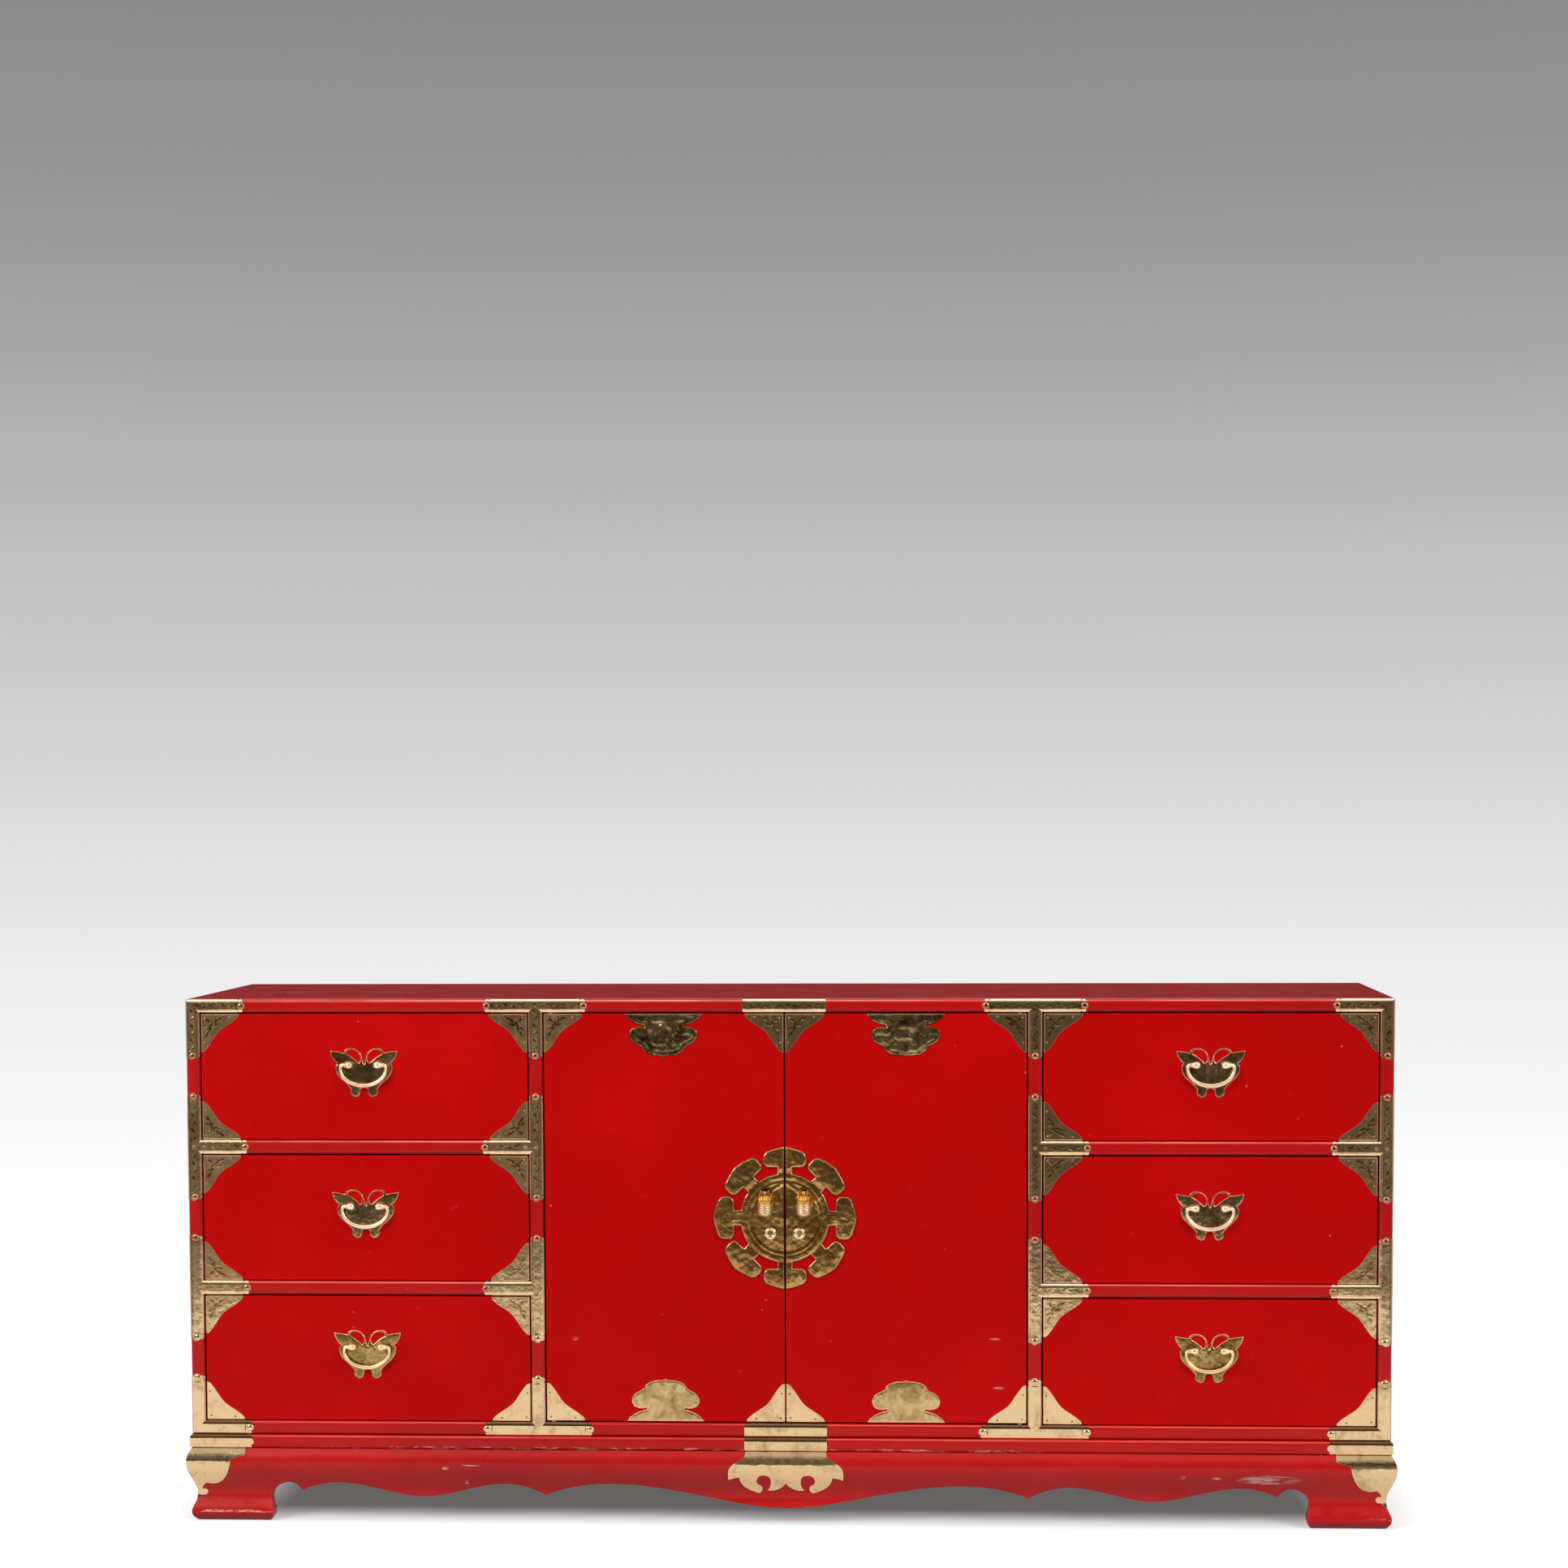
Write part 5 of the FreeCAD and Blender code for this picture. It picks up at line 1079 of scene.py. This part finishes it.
def strap_nails():
    """A bud on each shaped strap end with a groove before it, and nails where rail straps meet stiles."""
    grooves = bmesh.new()
    buds = []
    for x, z, back_x, back_z in strap_ends():
        buds.append((x + BUD_INSET * back_x, z + BUD_INSET * back_z))
        across = math.pi / 2 * abs(back_x)
        groove_x, groove_z = x + GROOVE_INSET * back_x, z + GROOVE_INSET * back_z
        leaf(grooves, groove_x, groove_z, across, GROOVE_LENGTH, GROOVE_WIDTH, STRAP_FACE)
    low_buds = [place for place in buds if place[1] < PLAIN_BELOW]
    high_buds = [place for place in buds if place[1] > PLAIN_BELOW]
    nails("low_strap_buds", low_buds, STRAP_FACE, "case", BUD_SIZE, SHEET)
    nails("strap_buds", high_buds, STRAP_FACE, "case", BUD_SIZE, WING)
    add_piece("strap_grooves", grooves, DARK, "case", smooth=30.0)
    meetings = [(side * x, z) for side in SIDES.values() for x in MEETINGS for z in RAIL_LEVELS]
    nails("strap_nails", meetings, STRAP_FACE, "case", MEETING_SIZE)


def chased_runs():
    """Both ends, in x and z, of each chased stretch of strap."""
    runs = [((-MIDDLE_RUN, TOP_RAIL), (MIDDLE_RUN, TOP_RAIL))]
    near, far = STILE_RUN
    for side in SIDES.values():
        runs += [((side * begin, TOP_RAIL), (side * end, TOP_RAIL)) for begin, end in TOP_RUNS]
        for stile in STILES:
            x = side * stile
            runs.append(((x, STILE_TOP_RUN[0]), (x, STILE_TOP_RUN[1])))
            for level in RAIL_LEVELS:
                runs.append(((x, level - far), (x, level - near)))
                runs.append(((x, level + near), (x, level + far)))
        for level in RAIL_LEVELS:
            runs += [((side * begin, level), (side * end, level)) for begin, end in RAIL_RUNS]
    return [run for run in runs if run[0][1] > FAINT_BELOW]


def strap_chasing():
    """A wandering row of leaves along the flat of each of the upper straps."""
    build = bmesh.new()
    for (x0, z0), (x1, z1) in chased_runs():
        count = max(3, round(math.hypot(x1 - x0, z1 - z0) / LEAF_PITCH))
        along = math.atan2(z1 - z0, x1 - x0)
        for step in range(count):
            share = (step + 0.5) / count
            swing = 1 if step % 2 else -1
            x = x0 + (x1 - x0) * share - swing * LEAF_SWING * math.sin(along)
            z = z0 + (z1 - z0) * share + swing * LEAF_SWING * math.cos(along)
            leaf(build, x, z, along + swing * LEAF_TILT, LEAF_LENGTH, LEAF_WIDTH, STRAP_FACE)
    add_piece("strap_chasing", build, DARK, "case", smooth=30.0)


strap_nails()
strap_chasing()


# Stage: floor, light and camera, in metres

FLOOR_RADIUS = 2.7
# Footprint of the case, where the floor's painted shadow falls: half width, half depth and the Y of its middle
CASE_HALF, CASE_HALF_DEPTH, CASE_MIDDLE = 0.915, 0.24, 0.0125
# Backdrop, from low to high
BACKDROP = (
    (0.06, 1.0),
    (0.11, 0.98),
    (0.22, 0.86),
    (0.33, 0.72),
    (0.43, 0.60),
    (0.54, 0.48),
    (0.64, 0.38),
    (0.74, 0.30),
    (0.84, 0.26),
)
ROOM = ((0.0, 0.05), (0.62, 0.05), (0.85, 0.85))
FURNISHING = (0.55, 0.50, 0.44, 1)

# Camera: yaw, pitch and roll in degrees, place from the middle of the bars' front, and its lens in pixels
CAMERA_TURN = (-3.26, -4.215, -0.227)
CAMERA_X, CAMERA_AWAY, CAMERA_Z = 0.2879, 5.0596, 1.0781
PICTURE_SIZE = 1932
FOCAL_PIXELS, OPTICAL_ROW = 4141.8, 1312
SENSOR = 36.0


def floor():
    """A pale disc that shines less under the case: a painted shadow in the case's footprint, over its real shadow.
    """
    mesh = bpy.data.meshes.new("floor")
    build = bmesh.new()
    bmesh.ops.create_circle(build, cap_ends=True, segments=96, radius=FLOOR_RADIUS)
    build.to_mesh(mesh)
    build.free()
    item = bpy.data.objects.new("floor", mesh)
    bpy.context.scene.collection.objects.link(item)
    material, shader, surface = new_material("floor")
    path = shader.add("ShaderNodeLightPath").outputs
    seen = shader.math("MAXIMUM", path["Is Camera Ray"], path["Is Glossy Ray"])
    seen = shader.math("MAXIMUM", seen, path["Is Transmission Ray"])
    shown = shader.times(shader.span(path["Is Glossy Ray"], 0.0, 1.0, 1.0, 0.8), seen)
    place = shader.coordinates()
    where = shader.parts(place)
    past_side = shader.math("SUBTRACT", shader.math("ABSOLUTE", where["X"]), CASE_HALF)
    depth = shader.math("ABSOLUTE", shader.math("SUBTRACT", where["Y"], CASE_MIDDLE))
    past_front = shader.math("SUBTRACT", depth, CASE_HALF_DEPTH)
    # The floor shines less over the case's footprint: a painted shadow there.
    glow_with_painted_shadow = shader.span(shader.math("MAXIMUM", past_side, past_front), -0.12, 0.09, 0.115, 0.76)
    pale = shader.ramp(shader.noise(place, 60.0, 3.0), [(0.3, grey(0.56)), (0.7, grey(0.60))])
    shader.fill(
        surface,
        Base_Color=shader.mix(seen, grey(0.16), pale),
        Roughness=0.9,
        Specular_IOR_Level=0.1,
        Emission_Color=grey(1.0),
        Emission_Strength=shader.times(glow_with_painted_shadow, shown),
    )
    mesh.materials.append(material)


def world():
    """A backdrop that darkens upwards, and a dim furnished room that shows in the brass."""
    sky = bpy.data.worlds.new("studio")
    bpy.context.scene.world = sky
    sky.use_nodes = True
    tree = sky.node_tree
    tree.nodes.clear()
    shader = Shader(tree)
    heading = shader.add("ShaderNodeTexCoord").outputs["Generated"]
    way = shader.parts(heading)
    wall = shader.ramp(
        shader.span(way["Z"], -0.15, 0.30), [(place, grey(level)) for place, level in BACKDROP]
    )
    room = shader.ramp(shader.span(way["Z"], -0.15, 0.9), [(place, grey(level)) for place, level in ROOM])
    clutter = shader.noise(heading, 14.0, 3.0, 0.6)
    room = shader.mix(shader.span(clutter, 0.50, 0.60), room, FURNISHING, "LIGHTEN")
    path = shader.add("ShaderNodeLightPath").outputs
    shown = shader.math("MAXIMUM", path["Is Camera Ray"], path["Is Transmission Ray"])
    behind = shader.math("MAXIMUM", shader.span(way["Y"], -0.35, 0.35), shown)
    back = shader.add("ShaderNodeBackground", Color=shader.mix(behind, room, wall), Strength=1.0)
    shader.add("ShaderNodeOutputWorld", Surface=back.outputs[0])


def lamp(name, place, target, width, height, power):
    light = bpy.data.lights.new(name, "AREA")
    light.shape = "RECTANGLE"
    light.size, light.size_y = width, height
    light.energy = power
    item = bpy.data.objects.new(name, light)
    bpy.context.scene.collection.objects.link(item)
    item.location = place
    item.rotation_mode = "QUATERNION"
    item.rotation_quaternion = (Vector(target) - Vector(place)).to_track_quat("-Z", "Y")


def camera():
    yaw, pitch, roll = (math.radians(angle) for angle in CAMERA_TURN)
    forward = Vector((math.sin(yaw) * math.cos(pitch), math.cos(yaw) * math.cos(pitch), math.sin(pitch)))
    level = Vector((math.cos(yaw), -math.sin(yaw), 0.0))
    upright = level.cross(forward)
    right = math.cos(roll) * level + math.sin(roll) * upright
    above = -math.sin(roll) * level + math.cos(roll) * upright
    view = bpy.data.cameras.new("camera")
    view.sensor_fit = "HORIZONTAL"
    view.sensor_width = SENSOR
    view.lens = FOCAL_PIXELS / PICTURE_SIZE * SENSOR
    view.shift_y = (OPTICAL_ROW - PICTURE_SIZE / 2) / PICTURE_SIZE
    item = bpy.data.objects.new("camera", view)
    bpy.context.scene.collection.objects.link(item)
    turn = Matrix((right, above, -forward)).transposed().to_4x4()
    place = (CAMERA_X, BAR_FACE / 1000 - CAMERA_AWAY, CAMERA_Z)
    item.matrix_world = Matrix.Translation(place) @ turn
    bpy.context.scene.camera = item


floor()
world()
lamp("left_key", (-3.4, -3.4, 2.7), (0.0, -0.2, 0.9), 2.2, 2.2, 142.0)
lamp("right_key", (3.6, -3.2, 2.6), (0.1, -0.2, 0.9), 2.2, 2.2, 114.0)
lamp("ceiling", (0.0, -0.2, 3.6), (0.0, -0.2, 0.0), 4.0, 2.5, 30.0)
camera()
bpy.context.scene.view_settings.view_transform = "Standard"
